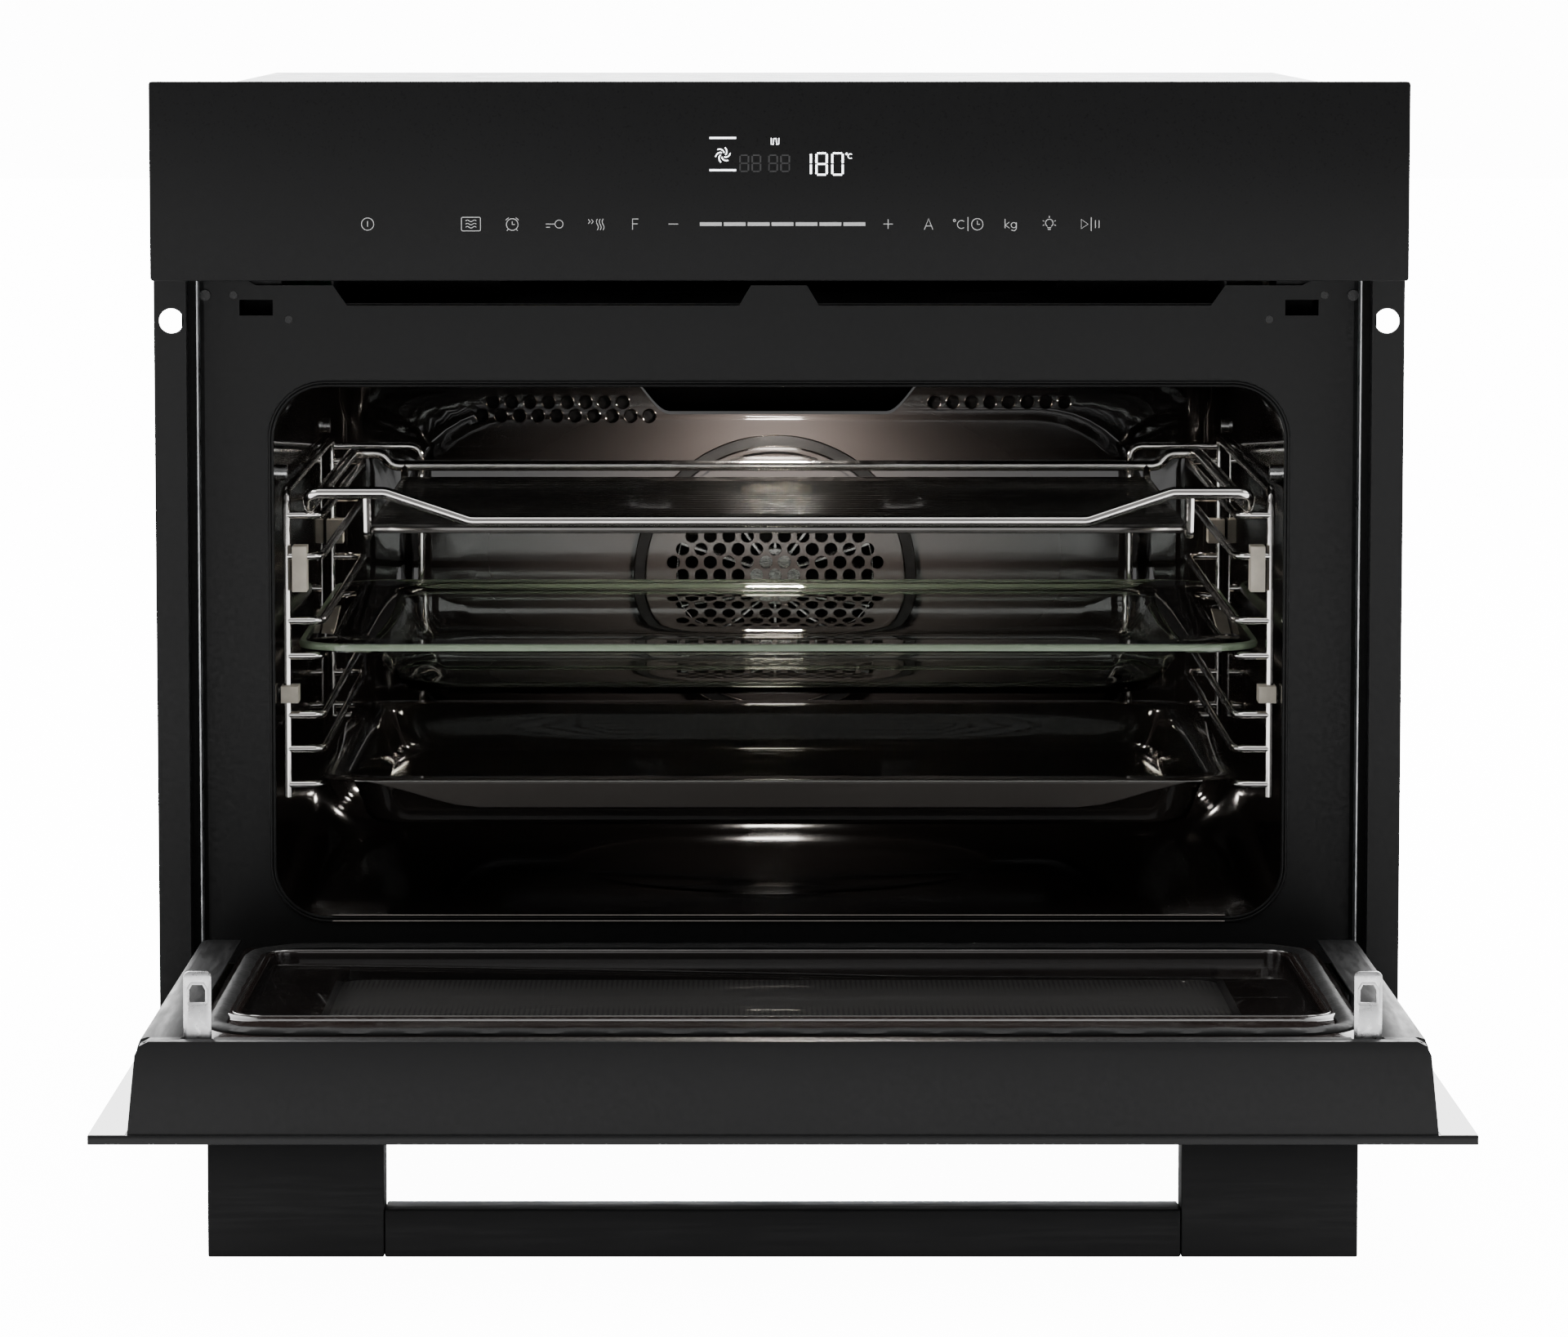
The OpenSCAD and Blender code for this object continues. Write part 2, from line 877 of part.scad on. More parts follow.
module door_screen() {
    color("gray")
        on_open_door()
            slab(-14.8, -14)
                translate([0, (window_low + window_high) / 2])
                    round_rect(2 * window_x + 16, window_high - window_low + 16, 14);
}

module door_middle_glass() {
    color([0.2, 0.25, 0.25, 0.5])
        on_open_door()
            span([-225, -24, 60], [225, -21, 320]);
}

module door_inner_glass() {
    pane_w = 478;
    pane_h = 202;
    color([0.2, 0.25, 0.25, 0.5])
        on_open_door()
            slab(-6, -3)
                translate([0, (step_low + step_high) / 2])
                    round_rect(pane_w, pane_h, 12);
}

module door_seal() {
    color([0.35, 0.35, 0.35])
        on_open_door()
            slab(-4, -0.9)
                translate([0, cavity_mid_z])
                    difference() {
                        round_rect(cavity_w + 19, cavity_h + 20, 34);
                        round_rect(cavity_w + 6, cavity_h + 5, 27);
                    }
}

// Metal hooks that reach through the front frame to the door switches
module latch_tabs() {
    tab_w = 12;
    tip_y = 28;
    root_y = -20;
    tab_t = 2;
    color("silver")
        on_open_door()
            mirrored_pair() {
                span([latch_x - tab_w / 2, -14, cover_low_z], [latch_x + tab_w / 2, -4, latch_z]);
                translate([latch_x, 0, latch_z - tab_t / 2])
                    linear_extrude(tab_t)
                        difference() {
                            union() {
                                translate([0, (tip_y + root_y - 3) / 2])
                                    square([tab_w, tip_y - root_y - 3], center = true);
                                translate([0, tip_y - 4])
                                    square([tab_w - 6, 8], center = true);
                                for (x = [-1, 1])
                                    translate([x * (tab_w / 2 - 3), tip_y - 3])
                                        circle(3);
                            }
                            translate([0, tip_y - 7])
                                square([7, 7], center = true);
                        }
            }
}

handle_z0 = 325;
handle_z1 = 347;
handle_y = front_y - handle_reach;
bar_depth = 20.7;
end_w = 76;

module handle_bar() {
    color([0.12, 0.12, 0.12])
        on_open_door()
            span([-handle_w / 2 + end_w, handle_y, handle_z0],
                [handle_w / 2 - end_w, handle_y + bar_depth, handle_z1]);
}

module handle_ends() {
    color([0.12, 0.12, 0.12])
        on_open_door()
            mirrored_pair()
                difference() {
                    span([handle_w / 2 - end_w, handle_y, handle_z0], [handle_w / 2, front_y, handle_z1]);
                    disc_y(handle_w / 2 - end_w / 2, (handle_z0 + handle_z1) / 2, front_y - 20, front_y + 1, 2.5);
                }
}

module handle_screws() {
    color("gray")
        on_open_door()
            mirrored_pair()
                disc_y(handle_w / 2 - end_w / 2, (handle_z0 + handle_z1) / 2, front_y - 18, front_y, 2.4);
}

// ---------------------------------------------------------------- loose fittings

// Wire shelf: a bent frame that rests on the top rungs, with a raised front bar, and a lower grid of
// fine wires that hangs between two side rods
module wire_shelf() {
    frame_d = 6;
    side_x = 227;
    rail_z = 249.1;
    bar_y = 5.5;
    bar_z = 256.4;
    dip_z = 242.7;
    rear_y = 350;
    rear_z = 242.4;
    grid_x = 199;
    grid_y0 = 26;
    grid_y1 = 342;
    grid_z = 235;
    grid_count = 24;
    right_side = [[149, bar_y, dip_z], [190, bar_y, bar_z], [side_x - 4, bar_y, bar_z],
        [side_x, bar_y + 7, rail_z], [side_x, rear_y - 7, rail_z], [side_x - 7, rear_y, rail_z],
        [209, rear_y, rear_z]];
    last = len(right_side) - 1;
    left_side = [for (i = [last : -1 : 0]) [-right_side[i].x, right_side[i].y, right_side[i].z]];
    color("silver") {
        wire(concat([left_side[last]], right_side, left_side), frame_d);
        translate(left_side[last])
            sphere(d = frame_d * 1.04, $fn = 20);
        for (x = [-grid_x, grid_x])
            wire([[x, bar_y + 2, bar_z - 1.5], [x, bar_y + 7, grid_z], [x, rear_y - 5, grid_z],
                [x, rear_y - 1, rear_z]], 4);
        bar([-grid_x, grid_y0, grid_z + 1.6], [grid_x, grid_y0, grid_z + 1.6], 3.2);
        for (i = [1 : grid_count])
            bar([-grid_x, grid_y0 + i * (grid_y1 - grid_y0) / grid_count, grid_z + 1],
                [grid_x, grid_y0 + i * (grid_y1 - grid_y0) / grid_count, grid_z + 1], 2.2);
    }
}

module glass_dish() {
    rim_z = 177.5;
    color([0.7, 0.85, 0.75, 0.4])
        dish(235, 18, 346, rim_z, rim_z + 4, 25, 205, 20, 30, 4);
}

module baking_tray() {
    rim_z = 114.3;
    front = 17;
    lip_drop = 12.4;
    color([0.15, 0.13, 0.13]) {
        dish(225, front, 352, rim_z, rim_z + 1.2, 24, 212, 14, 22, 1.2);
        slab(front, front + 1.2)
            polygon([[-200, rim_z + 0.6], [-190, rim_z - 2], [-145, rim_z - lip_drop],
                [145, rim_z - lip_drop], [190, rim_z - 2], [200, rim_z + 0.6]]);
    }
}

// A tray with a flat rim: half width, front and rear, rim bottom and top, depth below the rim,
// half width of the basin, its margin front and rear, corner radius and wall
module dish(half_w, y0, y1, z0, z1, depth, basin_w, margin, r, wall) {
    mid_y = (y0 + y1) / 2;
    basin_l = y1 - y0 - 2 * margin;
    translate([0, mid_y, 0])
        difference() {
            union() {
                translate([0, 0, z0])
                    linear_extrude(z1 - z0)
                        round_rect(2 * half_w, y1 - y0, r);
                translate([0, 0, z0 - depth])
                    linear_extrude(depth + 0.1)
                        round_rect(2 * basin_w, basin_l, r);
            }
            translate([0, 0, z0 - depth + wall])
                linear_extrude(depth + 20)
                    round_rect(2 * (basin_w - wall), basin_l - 2 * wall, r - wall);
        }
}

// ---------------------------------------------------------------- assembly
base_pan();
side_panel_left();
side_panel_right();
top_cover();
rear_cover();
mounting_strips();
front_frame();
control_panel_glass();
control_panel_frame();
display_module();
touch_board();
power_board();
cavity();
ceiling_plate();
fan_cover();
fan_chamber();
convection_fan();
convection_motor();
ring_heater();
top_heater();
lamp_holder();
lamp_lens();
temperature_sensor();
insulation();
ladder_left();
ladder_right();
ladder_spacers();
ladder_screws();
blower_housing();
blower_wheel();
blower_motor();
air_duct();
magnetron();
waveguide();
mode_stirrer();
stirrer_motor();
hv_transformer();
hv_capacitor();
terminal_block();
latch_switches();
hinge_receivers();
hinge_pins();
case_screws();
door_outer_glass();
door_top_cover();
door_side_rails();
door_bottom_rail();
door_inner_frame();
door_screen();
door_middle_glass();
door_inner_glass();
door_seal();
latch_tabs();
hinge_arms();
handle_bar();
handle_ends();
handle_screws();
wire_shelf();
glass_dish();
baking_tray();
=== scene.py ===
"""Looks of a compact built-in oven, with its door open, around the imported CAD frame."""
import json
import math

import bmesh
import bpy
from mathutils import Matrix, Vector


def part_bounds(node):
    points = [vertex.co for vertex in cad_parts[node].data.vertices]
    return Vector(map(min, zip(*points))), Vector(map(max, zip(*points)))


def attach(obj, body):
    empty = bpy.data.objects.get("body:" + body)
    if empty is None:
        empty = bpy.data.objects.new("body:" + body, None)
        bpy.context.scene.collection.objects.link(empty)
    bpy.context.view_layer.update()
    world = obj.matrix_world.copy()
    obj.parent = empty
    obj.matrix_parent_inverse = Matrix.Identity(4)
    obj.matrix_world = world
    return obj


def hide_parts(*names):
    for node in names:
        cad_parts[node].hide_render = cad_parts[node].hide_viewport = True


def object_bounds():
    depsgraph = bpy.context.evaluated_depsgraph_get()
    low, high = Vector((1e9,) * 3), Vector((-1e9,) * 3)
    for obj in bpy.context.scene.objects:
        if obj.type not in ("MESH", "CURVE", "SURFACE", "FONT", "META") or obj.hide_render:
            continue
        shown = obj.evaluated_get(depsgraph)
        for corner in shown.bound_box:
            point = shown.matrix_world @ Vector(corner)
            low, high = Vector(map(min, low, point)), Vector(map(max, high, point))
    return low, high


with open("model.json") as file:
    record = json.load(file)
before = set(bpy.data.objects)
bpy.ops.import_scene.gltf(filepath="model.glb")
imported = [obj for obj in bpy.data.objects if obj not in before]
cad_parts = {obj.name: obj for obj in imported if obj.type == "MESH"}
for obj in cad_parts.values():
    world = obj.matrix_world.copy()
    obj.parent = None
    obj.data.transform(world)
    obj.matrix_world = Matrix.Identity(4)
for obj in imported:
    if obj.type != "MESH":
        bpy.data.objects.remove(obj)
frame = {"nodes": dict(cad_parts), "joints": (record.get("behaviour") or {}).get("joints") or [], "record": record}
cad_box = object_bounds()

MM = 0.001
nodes = frame["nodes"]
hinge = next(j for j in frame["joints"] if j["name"] == "door_hinge")
OPEN_ANGLE = -math.radians(hinge["range_deg"][0])
HINGE = Vector([c / MM for c in hinge["pos_m"]])
# Turns a piece of the door from closed, as it is modelled here, to open, as the CAD has it
DOOR_TURN = Matrix.Translation(HINGE) @ Matrix.Rotation(OPEN_ANGLE, 4, "X") @ Matrix.Translation(-HINGE)


# ---------------------------------------------------------------- where the CAD parts are, in millimetres


def part_box(name):
    """Lowest and highest corner of a CAD node, in millimetres."""
    low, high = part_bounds(name)
    return low / MM, high / MM


def door_box(name):
    """The box of a door node with the door turned back to closed, in millimetres."""
    back = DOOR_TURN.inverted()
    points = [back @ (v.co / MM) for v in nodes[name].data.vertices]
    low = Vector(min(p[i] for p in points) for i in range(3))
    high = Vector(max(p[i] for p in points) for i in range(3))
    return low, high


# ---------------------------------------------------------------- materials


def new_material(name):
    mat = bpy.data.materials.new(name)
    mat.use_nodes = True
    return mat, mat.node_tree, mat.node_tree.nodes["Principled BSDF"]


def add_node(tree, kind, **values):
    node = tree.nodes.new(kind)
    for key, value in values.items():
        if key in node.inputs:
            node.inputs[key].default_value = value
        else:
            setattr(node, key, value)
    return node


def noise(tree, scale, detail=3.0, stretch=(1, 1, 1)):
    """Noise in object space; stretch makes it long along an axis with a small value."""
    coords = add_node(tree, "ShaderNodeTexCoord")
    mapping = add_node(tree, "ShaderNodeMapping")
    mapping.inputs["Scale"].default_value = stretch
    tex = add_node(tree, "ShaderNodeTexNoise", Scale=scale, Detail=detail)
    tree.links.new(coords.outputs["Object"], mapping.inputs["Vector"])
    tree.links.new(mapping.outputs["Vector"], tex.inputs["Vector"])
    return tex


def remap(tree, source, low, high, start=0.35, end=0.65):
    node = add_node(tree, "ShaderNodeMapRange")
    for key, value in (("From Min", start), ("From Max", end), ("To Min", low), ("To Max", high)):
        node.inputs[key].default_value = value
    tree.links.new(source, node.inputs["Value"])
    return node.outputs["Result"]


def colour_ramp(tree, source, stops):
    """The colour for a value between two stops, each a position and a colour."""
    ramp = add_node(tree, "ShaderNodeValToRGB")
    for element, (position, colour) in zip(ramp.color_ramp.elements, stops):
        element.position = position
        element.color = colour
    tree.links.new(source, ramp.inputs["Fac"])
    return ramp.outputs["Color"]


def add_relief(tree, shader, source, strength, depth):
    """Fine relief from a value; depth in millimetres."""
    relief = add_node(tree, "ShaderNodeBump", Strength=strength, Distance=depth * MM)
    tree.links.new(source, relief.inputs["Height"])
    tree.links.new(relief.outputs["Normal"], shader.inputs["Normal"])


def tint(colour, share):
    return tuple(min(1.0, c * share) for c in colour) + (1.0,)


def surface(
    name, colour, rough, metal=0.0, patch=(8, 0.12), grain=(400, 0.06), stretch=(1, 1, 1),
    bump=(300, 0.02), specular=0.5, coat=0.0, coat_rough=0.05, second=None, lamp_glow_colour=None,
):
    """A material with uneven colour, uneven gloss, a fine relief and, if asked, painted lamp light.
    patch: scale and strength of the colour change; grain: scale and strength of the gloss change;
    bump: scale and height in millimetres; second: the colour that the patches turn to;
    the last argument: painted lamp light, a lighter colour in a pool on the middle of the cavity's back wall."""
    mat, tree, shader = new_material(name)
    shader.inputs["Metallic"].default_value = metal
    shader.inputs["Specular IOR Level"].default_value = specular
    shader.inputs["Coat Weight"].default_value = coat
    shader.inputs["Coat Roughness"].default_value = coat_rough
    spots = noise(tree, patch[0], 4.0, stretch)
    stops = ((0.3, tint(colour, 1 - patch[1])), (0.7, tint(second or colour, 1 + patch[1])))
    colour_out = colour_ramp(tree, spots.outputs["Fac"], stops)
    # Painted lamp light: near the cavity's back wall the colour turns lighter, in a pool that fades towards the
    # sides, top and bottom
    if lamp_glow_colour:
        place = add_node(tree, "ShaderNodeTexCoord")
        split = add_node(tree, "ShaderNodeSeparateXYZ")
        tree.links.new(place.outputs["Object"], split.inputs["Vector"])
        lamp_glow_place = add_node(tree, "ShaderNodeMapping")
        lamp_glow_place.inputs["Location"].default_value = (0, 0, -1.6)
        lamp_glow_place.inputs["Scale"].default_value = (4.9, 0, 8.4)
        tree.links.new(place.outputs["Object"], lamp_glow_place.inputs["Vector"])
        reach = add_node(tree, "ShaderNodeVectorMath", operation="LENGTH")
        tree.links.new(lamp_glow_place.outputs["Vector"], reach.inputs[0])
        lamp_glow_mask = add_node(tree, "ShaderNodeMath", operation="MULTIPLY")
        tree.links.new(remap(tree, split.outputs["Y"], 0.0, 1.0, 0.37, 0.398), lamp_glow_mask.inputs[0])
        tree.links.new(remap(tree, reach.outputs["Value"], 1.0, 0.0, 0.55, 1.05), lamp_glow_mask.inputs[1])
        blend = add_node(tree, "ShaderNodeMix", data_type="RGBA")
        blend.inputs["B"].default_value = lamp_glow_colour + (1,)
        tree.links.new(lamp_glow_mask.outputs["Value"], blend.inputs["Factor"])
        tree.links.new(colour_out, blend.inputs["A"])
        colour_out = blend.outputs["Result"]
    tree.links.new(colour_out, shader.inputs["Base Color"])
    fine = noise(tree, grain[0], 3.0, stretch)
    gloss = remap(tree, fine.outputs["Fac"], max(0.02, rough - grain[1]), min(1.0, rough + grain[1]))
    tree.links.new(gloss, shader.inputs["Roughness"])
    add_relief(tree, shader, noise(tree, bump[0], 3.0, stretch).outputs["Fac"], 0.6, bump[1])
    return mat


def clear_glass(name, colour, rough=0.02, alpha=None, specular=0.5):
    """Glass as a clear tinted sheet. The thin sheets bend no light, so their shadows stay light."""
    mat, tree, shader = new_material(name)
    smear = noise(tree, 9, 4.0)
    shader.inputs["Specular IOR Level"].default_value = specular
    shader.inputs["Base Color"].default_value = colour + (1,)
    tree.links.new(remap(tree, smear.outputs["Fac"], rough, rough + 0.015), shader.inputs["Roughness"])
    if alpha is None:
        shader.inputs["Transmission Weight"].default_value = 1.0
        shader.inputs["IOR"].default_value = 1.5
    else:
        shader.inputs["Alpha"].default_value = alpha
    add_relief(tree, shader, noise(tree, 14, 2.0).outputs["Fac"], 0.2, 0.02)
    return mat


def glowing(name, colour, strength):
    mat, tree, shader = new_material(name)
    shader.inputs["Base Color"].default_value = colour + (1,)
    shader.inputs["Emission Color"].default_value = colour + (1,)
    flicker = noise(tree, 300, 2.0)
    tree.links.new(
        remap(tree, flicker.outputs["Fac"], strength * 0.85, strength), shader.inputs["Emission Strength"]
    )
    return mat


def mesh_sheet_material(name):
    """Dark sheet steel with a fine regular field of punched holes, as stripes of light and dark dots."""
    mat, tree, shader = new_material(name)
    coords = add_node(tree, "ShaderNodeTexCoord")
    dots = add_node(tree, "ShaderNodeTexVoronoi", Scale=420.0, Randomness=0.0)
    tree.links.new(coords.outputs["Object"], dots.inputs["Vector"])
    stops = ((0.28, (0.004, 0.004, 0.004, 1)), (0.36, (0.3, 0.29, 0.28, 1)))
    tree.links.new(colour_ramp(tree, dots.outputs["Distance"], stops), shader.inputs["Base Color"])
    shader.inputs["Metallic"].default_value = 0.7
    shader.inputs["Roughness"].default_value = 0.35
    return mat


MATERIALS = {
    "zinc_steel": surface(
        "zinc_steel", (0.45, 0.46, 0.47), 0.36, 1.0, patch=(60, 0.16), grain=(90, 0.1), bump=(80, 0.02)
    ),
    "black_paint": surface(
        "black_paint", (0.0052, 0.0053, 0.0054), 0.42, 0.0, patch=(14, 0.1), bump=(900, 0.02), specular=0.2
    ),
    "black_glass": surface(
        "black_glass", (0.0078, 0.0078, 0.008), 0.33, 0.0, patch=(5, 0.05), grain=(900, 0.06),
        bump=(900, 0.01), specular=0.1,
    ),
    "black_plastic": surface(
        "black_plastic", (0.008, 0.008, 0.0085), 0.5, 0.0, patch=(20, 0.1), bump=(1500, 0.03), specular=0.25
    ),
    "circuit_board": surface(
        "circuit_board", (0.02, 0.10, 0.05), 0.45, 0.0, patch=(120, 0.5), bump=(300, 0.1)
    ),
    # Black enamel of the cavity; its last colour is painted lamp light, a lighter pool on the middle of the back
    # wall
    "black_enamel": surface(
        "black_enamel", (0.0030, 0.0026, 0.0025), 0.07, 0.0, patch=(9, 0.15), grain=(12, 0.03),
        bump=(30, 0.02), specular=0.4, coat=0.15, coat_rough=0.02, second=(0.0045, 0.0038, 0.0035),
        lamp_glow_colour=(0.023, 0.020, 0.019),
    ),
    # Dark steel for thin lines that stand for highlights on enamel edges: painted highlights
    "painted_highlight_steel_dim": surface(
        "painted_highlight_steel_dim", (0.22, 0.20, 0.185), 0.13, 1.0, patch=(30, 0.2), grain=(60, 0.05), bump=(90, 0.02)
    ),
    "fan_aluminium": surface(
        "fan_aluminium", (0.42, 0.41, 0.40), 0.25, 1.0, patch=(30, 0.2), stretch=(1, 1, 8)
    ),
    "motor_steel": surface("motor_steel", (0.22, 0.22, 0.23), 0.45, 1.0, patch=(25, 0.2)),
    "heater_steel": surface(
        "heater_steel", (0.20, 0.17, 0.15), 0.5, 0.8, patch=(30, 0.3), second=(0.28, 0.2, 0.15)
    ),
    "ceramic": surface(
        "ceramic", (0.62, 0.57, 0.48), 0.6, 0.0, patch=(120, 0.14), bump=(500, 0.08), specular=0.3
    ),
    "lamp_glass": glowing("lamp_glass", (1.0, 0.86, 0.66), 14.0),
    "bright_steel": surface(
        "bright_steel", (0.60, 0.60, 0.60), 0.22, 1.0, patch=(40, 0.1), grain=(200, 0.06), bump=(200, 0.01)
    ),
    "glass_wool": surface(
        "glass_wool", (0.70, 0.62, 0.36), 0.95, 0.0, patch=(60, 0.25), bump=(220, 1.5), specular=0.1
    ),
    "chrome_wire": surface(
        "chrome_wire", (0.92, 0.89, 0.86), 0.12, 1.0, patch=(24, 0.08), grain=(150, 0.03), bump=(120, 0.008)
    ),
    "iron_core": surface("iron_core", (0.14, 0.13, 0.12), 0.6, 0.6, patch=(40, 0.2), stretch=(1, 1, 12)),
    "black_screw": surface("black_screw", (0.02, 0.02, 0.02), 0.3, 0.6, patch=(80, 0.2)),
    "grey_paint": surface(
        "grey_paint", (0.0066, 0.0066, 0.0069), 0.42, 0.0, patch=(10, 0.08), bump=(1100, 0.02), specular=0.18
    ),
    "brown_enamel": surface(
        "brown_enamel", (0.008, 0.0055, 0.005), 0.14, 0.0, patch=(10, 0.15), bump=(60, 0.03),
        specular=0.4, coat=0.1, second=(0.012, 0.008, 0.007),
    ),
    "screen_steel": mesh_sheet_material("screen_steel"),
    "door_glass": clear_glass("door_glass", (0.003, 0.003, 0.003), 0.01, alpha=0.3, specular=0.06),
    "seal_rubber": surface(
        "seal_rubber", (0.012, 0.012, 0.012), 0.55, 0.0, patch=(50, 0.15), bump=(600, 0.08), specular=0.12
    ),
    "silver_plate": surface(
        "silver_plate", (0.72, 0.72, 0.73), 0.3, 1.0, patch=(60, 0.1), bump=(300, 0.02)
    ),
    "handle_black": surface(
        "handle_black", (0.0028, 0.0028, 0.003), 0.4, 0.0, patch=(30, 0.15), grain=(500, 0.08),
        stretch=(0.05, 1, 1), bump=(700, 0.04), specular=0.13,
    ),
    "dish_glass": clear_glass("dish_glass", (0.93, 0.97, 0.93), 0.0),
    "tray_enamel": surface(
        "tray_enamel", (0.012, 0.010, 0.009), 0.09, 0.0, patch=(10, 0.12), bump=(50, 0.03),
        specular=0.7, coat=0.6, coat_rough=0.03, second=(0.018, 0.015, 0.013),
    ),
    "rail_grey": surface(
        "rail_grey", (0.012, 0.012, 0.0124), 0.4, 0.0, patch=(14, 0.1), grain=(300, 0.08),
        stretch=(1, 0.1, 1), specular=0.3,
    ),
    "door_black_glass": surface(
        "door_black_glass", (0.009, 0.009, 0.0094), 0.24, 0.0, patch=(5, 0.05), grain=(6, 0.02),
        bump=(3, 0.01), specular=0.2,
    ),
    "margin_mirror": surface(
        "margin_mirror", (0.30, 0.30, 0.30), 0.08, 1.0, patch=(6, 0.05), grain=(10, 0.02), bump=(3, 0.01)
    ),
    "rim_dark": surface(
        "rim_dark", (0.006, 0.006, 0.006), 0.35, 0.0, patch=(30, 0.2), bump=(90, 0.02), specular=0.15
    ),
    # Near-black for sheets that stand in for shade in gaps, holes and the fan chamber: painted shade
    "painted_shade_black": surface("painted_shade_black", (0.004, 0.004, 0.004), 0.6, 0.0, specular=0.1),
    # Lighter steel for lines that stand for highlights on edges and crests: painted highlights
    "painted_highlight_steel": surface(
        "painted_highlight_steel", (0.45, 0.44, 0.43), 0.18, 1.0, patch=(30, 0.15), grain=(60, 0.05), bump=(90, 0.02)
    ),
    # Painted light: a lighter copy of the tray's own enamel, for the tray's front face where the lamps fall on it
    "tray_lip_painted_light": surface(
        "tray_lip_painted_light", (0.042, 0.037, 0.033), 0.35, 0.0, patch=(12, 0.12), bump=(60, 0.03), specular=0.5
    ),
    # The glass edge's own green, made bright as painted light that the edge carries
    "dish_edge_painted_glow": surface(
        "dish_edge_painted_glow", (0.50, 0.60, 0.44), 0.25, 0.0, patch=(10, 0.15), grain=(40, 0.04), bump=(40, 0.01)
    ),
    "icon_grey": glowing("icon_grey", (0.42, 0.42, 0.42), 0.38),
    "icon_light": glowing("icon_light", (0.55, 0.55, 0.55), 0.9),
    "icon_dim": glowing("icon_dim", (0.016, 0.016, 0.017), 0.1),
    "display_bright": glowing("display_bright", (0.95, 0.97, 1.0), 5.0),
}

for part in frame["record"]["subparts"]:
    slots = nodes[part["node"]].data.materials
    slots.clear()
    slots.append(MATERIALS[part["material_slot"]])


# ---------------------------------------------------------------- mesh tools


def as_piece(obj, body, material, replaced=()):
    """Gives a finished object its material and its body, and hides the CAD nodes that it stands for."""
    obj.data.materials.clear()
    obj.data.materials.append(MATERIALS[material])
    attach(obj, body)
    if replaced:
        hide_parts(*replaced)
    return obj


def add_object(name, data):
    obj = bpy.data.objects.new(name, data)
    bpy.context.scene.collection.objects.link(obj)
    return obj


def evaluated_mesh(obj):
    """The object's mesh as it is with its modifiers or its curve settings."""
    bpy.context.view_layer.update()
    graph = bpy.context.evaluated_depsgraph_get()
    return bpy.data.meshes.new_from_object(obj.evaluated_get(graph))


def make_object(name, points, faces, smooth=35, turn=None):
    """An object from points in millimetres; smooth is the angle in degrees up to which faces blend."""
    mesh = bpy.data.meshes.new(name)
    placed = [(turn @ Vector(p) if turn else Vector(p)) * MM for p in points]
    mesh.from_pydata([tuple(p) for p in placed], [], faces)
    mesh.validate()
    obj = add_object(name, mesh)
    tidy_normals(mesh)
    round_off(mesh, smooth)
    return obj


def tidy_normals(mesh):
    work = bmesh.new()
    work.from_mesh(mesh)
    bmesh.ops.remove_doubles(work, verts=work.verts, dist=1e-7)
    bmesh.ops.recalc_face_normals(work, faces=work.faces)
    work.to_mesh(mesh)
    work.free()


def round_off(mesh, angle):
    mesh.shade_smooth()
    mesh.set_sharp_from_angle(angle=math.radians(angle))


def bake_modifiers(obj, smooth=35):
    """Applies the object's modifiers to its mesh."""
    mesh = evaluated_mesh(obj)
    obj.modifiers.clear()
    obj.data = mesh
    round_off(mesh, smooth)
    return obj


def bevelled(obj, width, segments=3, angle=40, smooth=35):
    """Rounds the sharp edges; width in millimetres."""
    mod = obj.modifiers.new("bevel", "BEVEL")
    mod.width = width * MM
    mod.segments = segments
    mod.limit_method = "ANGLE"
    mod.angle_limit = math.radians(angle)
    mod.use_clamp_overlap = True
    return bake_modifiers(obj, smooth)


def cut(obj, cutters, smooth=35):
    """Takes the cutters out of the object, and removes them."""
    for cutter in cutters:
        mod = obj.modifiers.new("cut", "BOOLEAN")
        mod.operation = "DIFFERENCE"
        mod.solver = "EXACT"
        mod.object = cutter
    bake_modifiers(obj, smooth)
    for cutter in cutters:
        bpy.data.objects.remove(cutter)
    return obj


def slab_faces(n):
    """The faces of a slab between two outlines of n points each."""
    ends = [tuple(range(n)), tuple(range(2 * n - 1, n - 1, -1))]
    return ends + [(i, i + n, (i + 1) % n + n, (i + 1) % n) for i in range(n)]


def extruded(name, outline, y0, y1, turn=None, smooth=35):
    """An upright slab from an outline in X and Z."""
    points = [(x, y0, z) for x, z in outline] + [(x, y1, z) for x, z in outline]
    return make_object(name, points, slab_faces(len(outline)), smooth, turn)


def extruded_up(name, outline, z0, z1, turn=None, smooth=35):
    """A slab from an outline in X and Y."""
    points = [(x, y, z0) for x, y in outline] + [(x, y, z1) for x, y in outline]
    return make_object(name, points, slab_faces(len(outline)), smooth, turn)


def block(name, low, high, turn=None):
    """A box between its lowest and its highest corner."""
    return extruded(
        name, [(low[0], low[2]), (high[0], low[2]), (high[0], high[2]), (low[0], high[2])],
        low[1], high[1], turn,
    )


def round_rect(half_w, half_h, r, centre=(0, 0), steps=8):
    """Points of a rectangle with round corners, counter-clockwise."""
    points = []
    for sx, sy, start in ((1, 1, 0), (-1, 1, 90), (-1, -1, 180), (1, -1, 270)):
        for i in range(steps + 1):
            a = math.radians(start + 90 * i / steps)
            points.append(
                (
                    centre[0] + sx * (half_w - r) + r * math.cos(a),
                    centre[1] + sy * (half_h - r) + r * math.sin(a),
                )
            )
    return points


def circle(r, centre=(0, 0), count=48):
    turn = 2 * math.pi / count
    return [(centre[0] + r * math.cos(i * turn), centre[1] + r * math.sin(i * turn)) for i in range(count)]


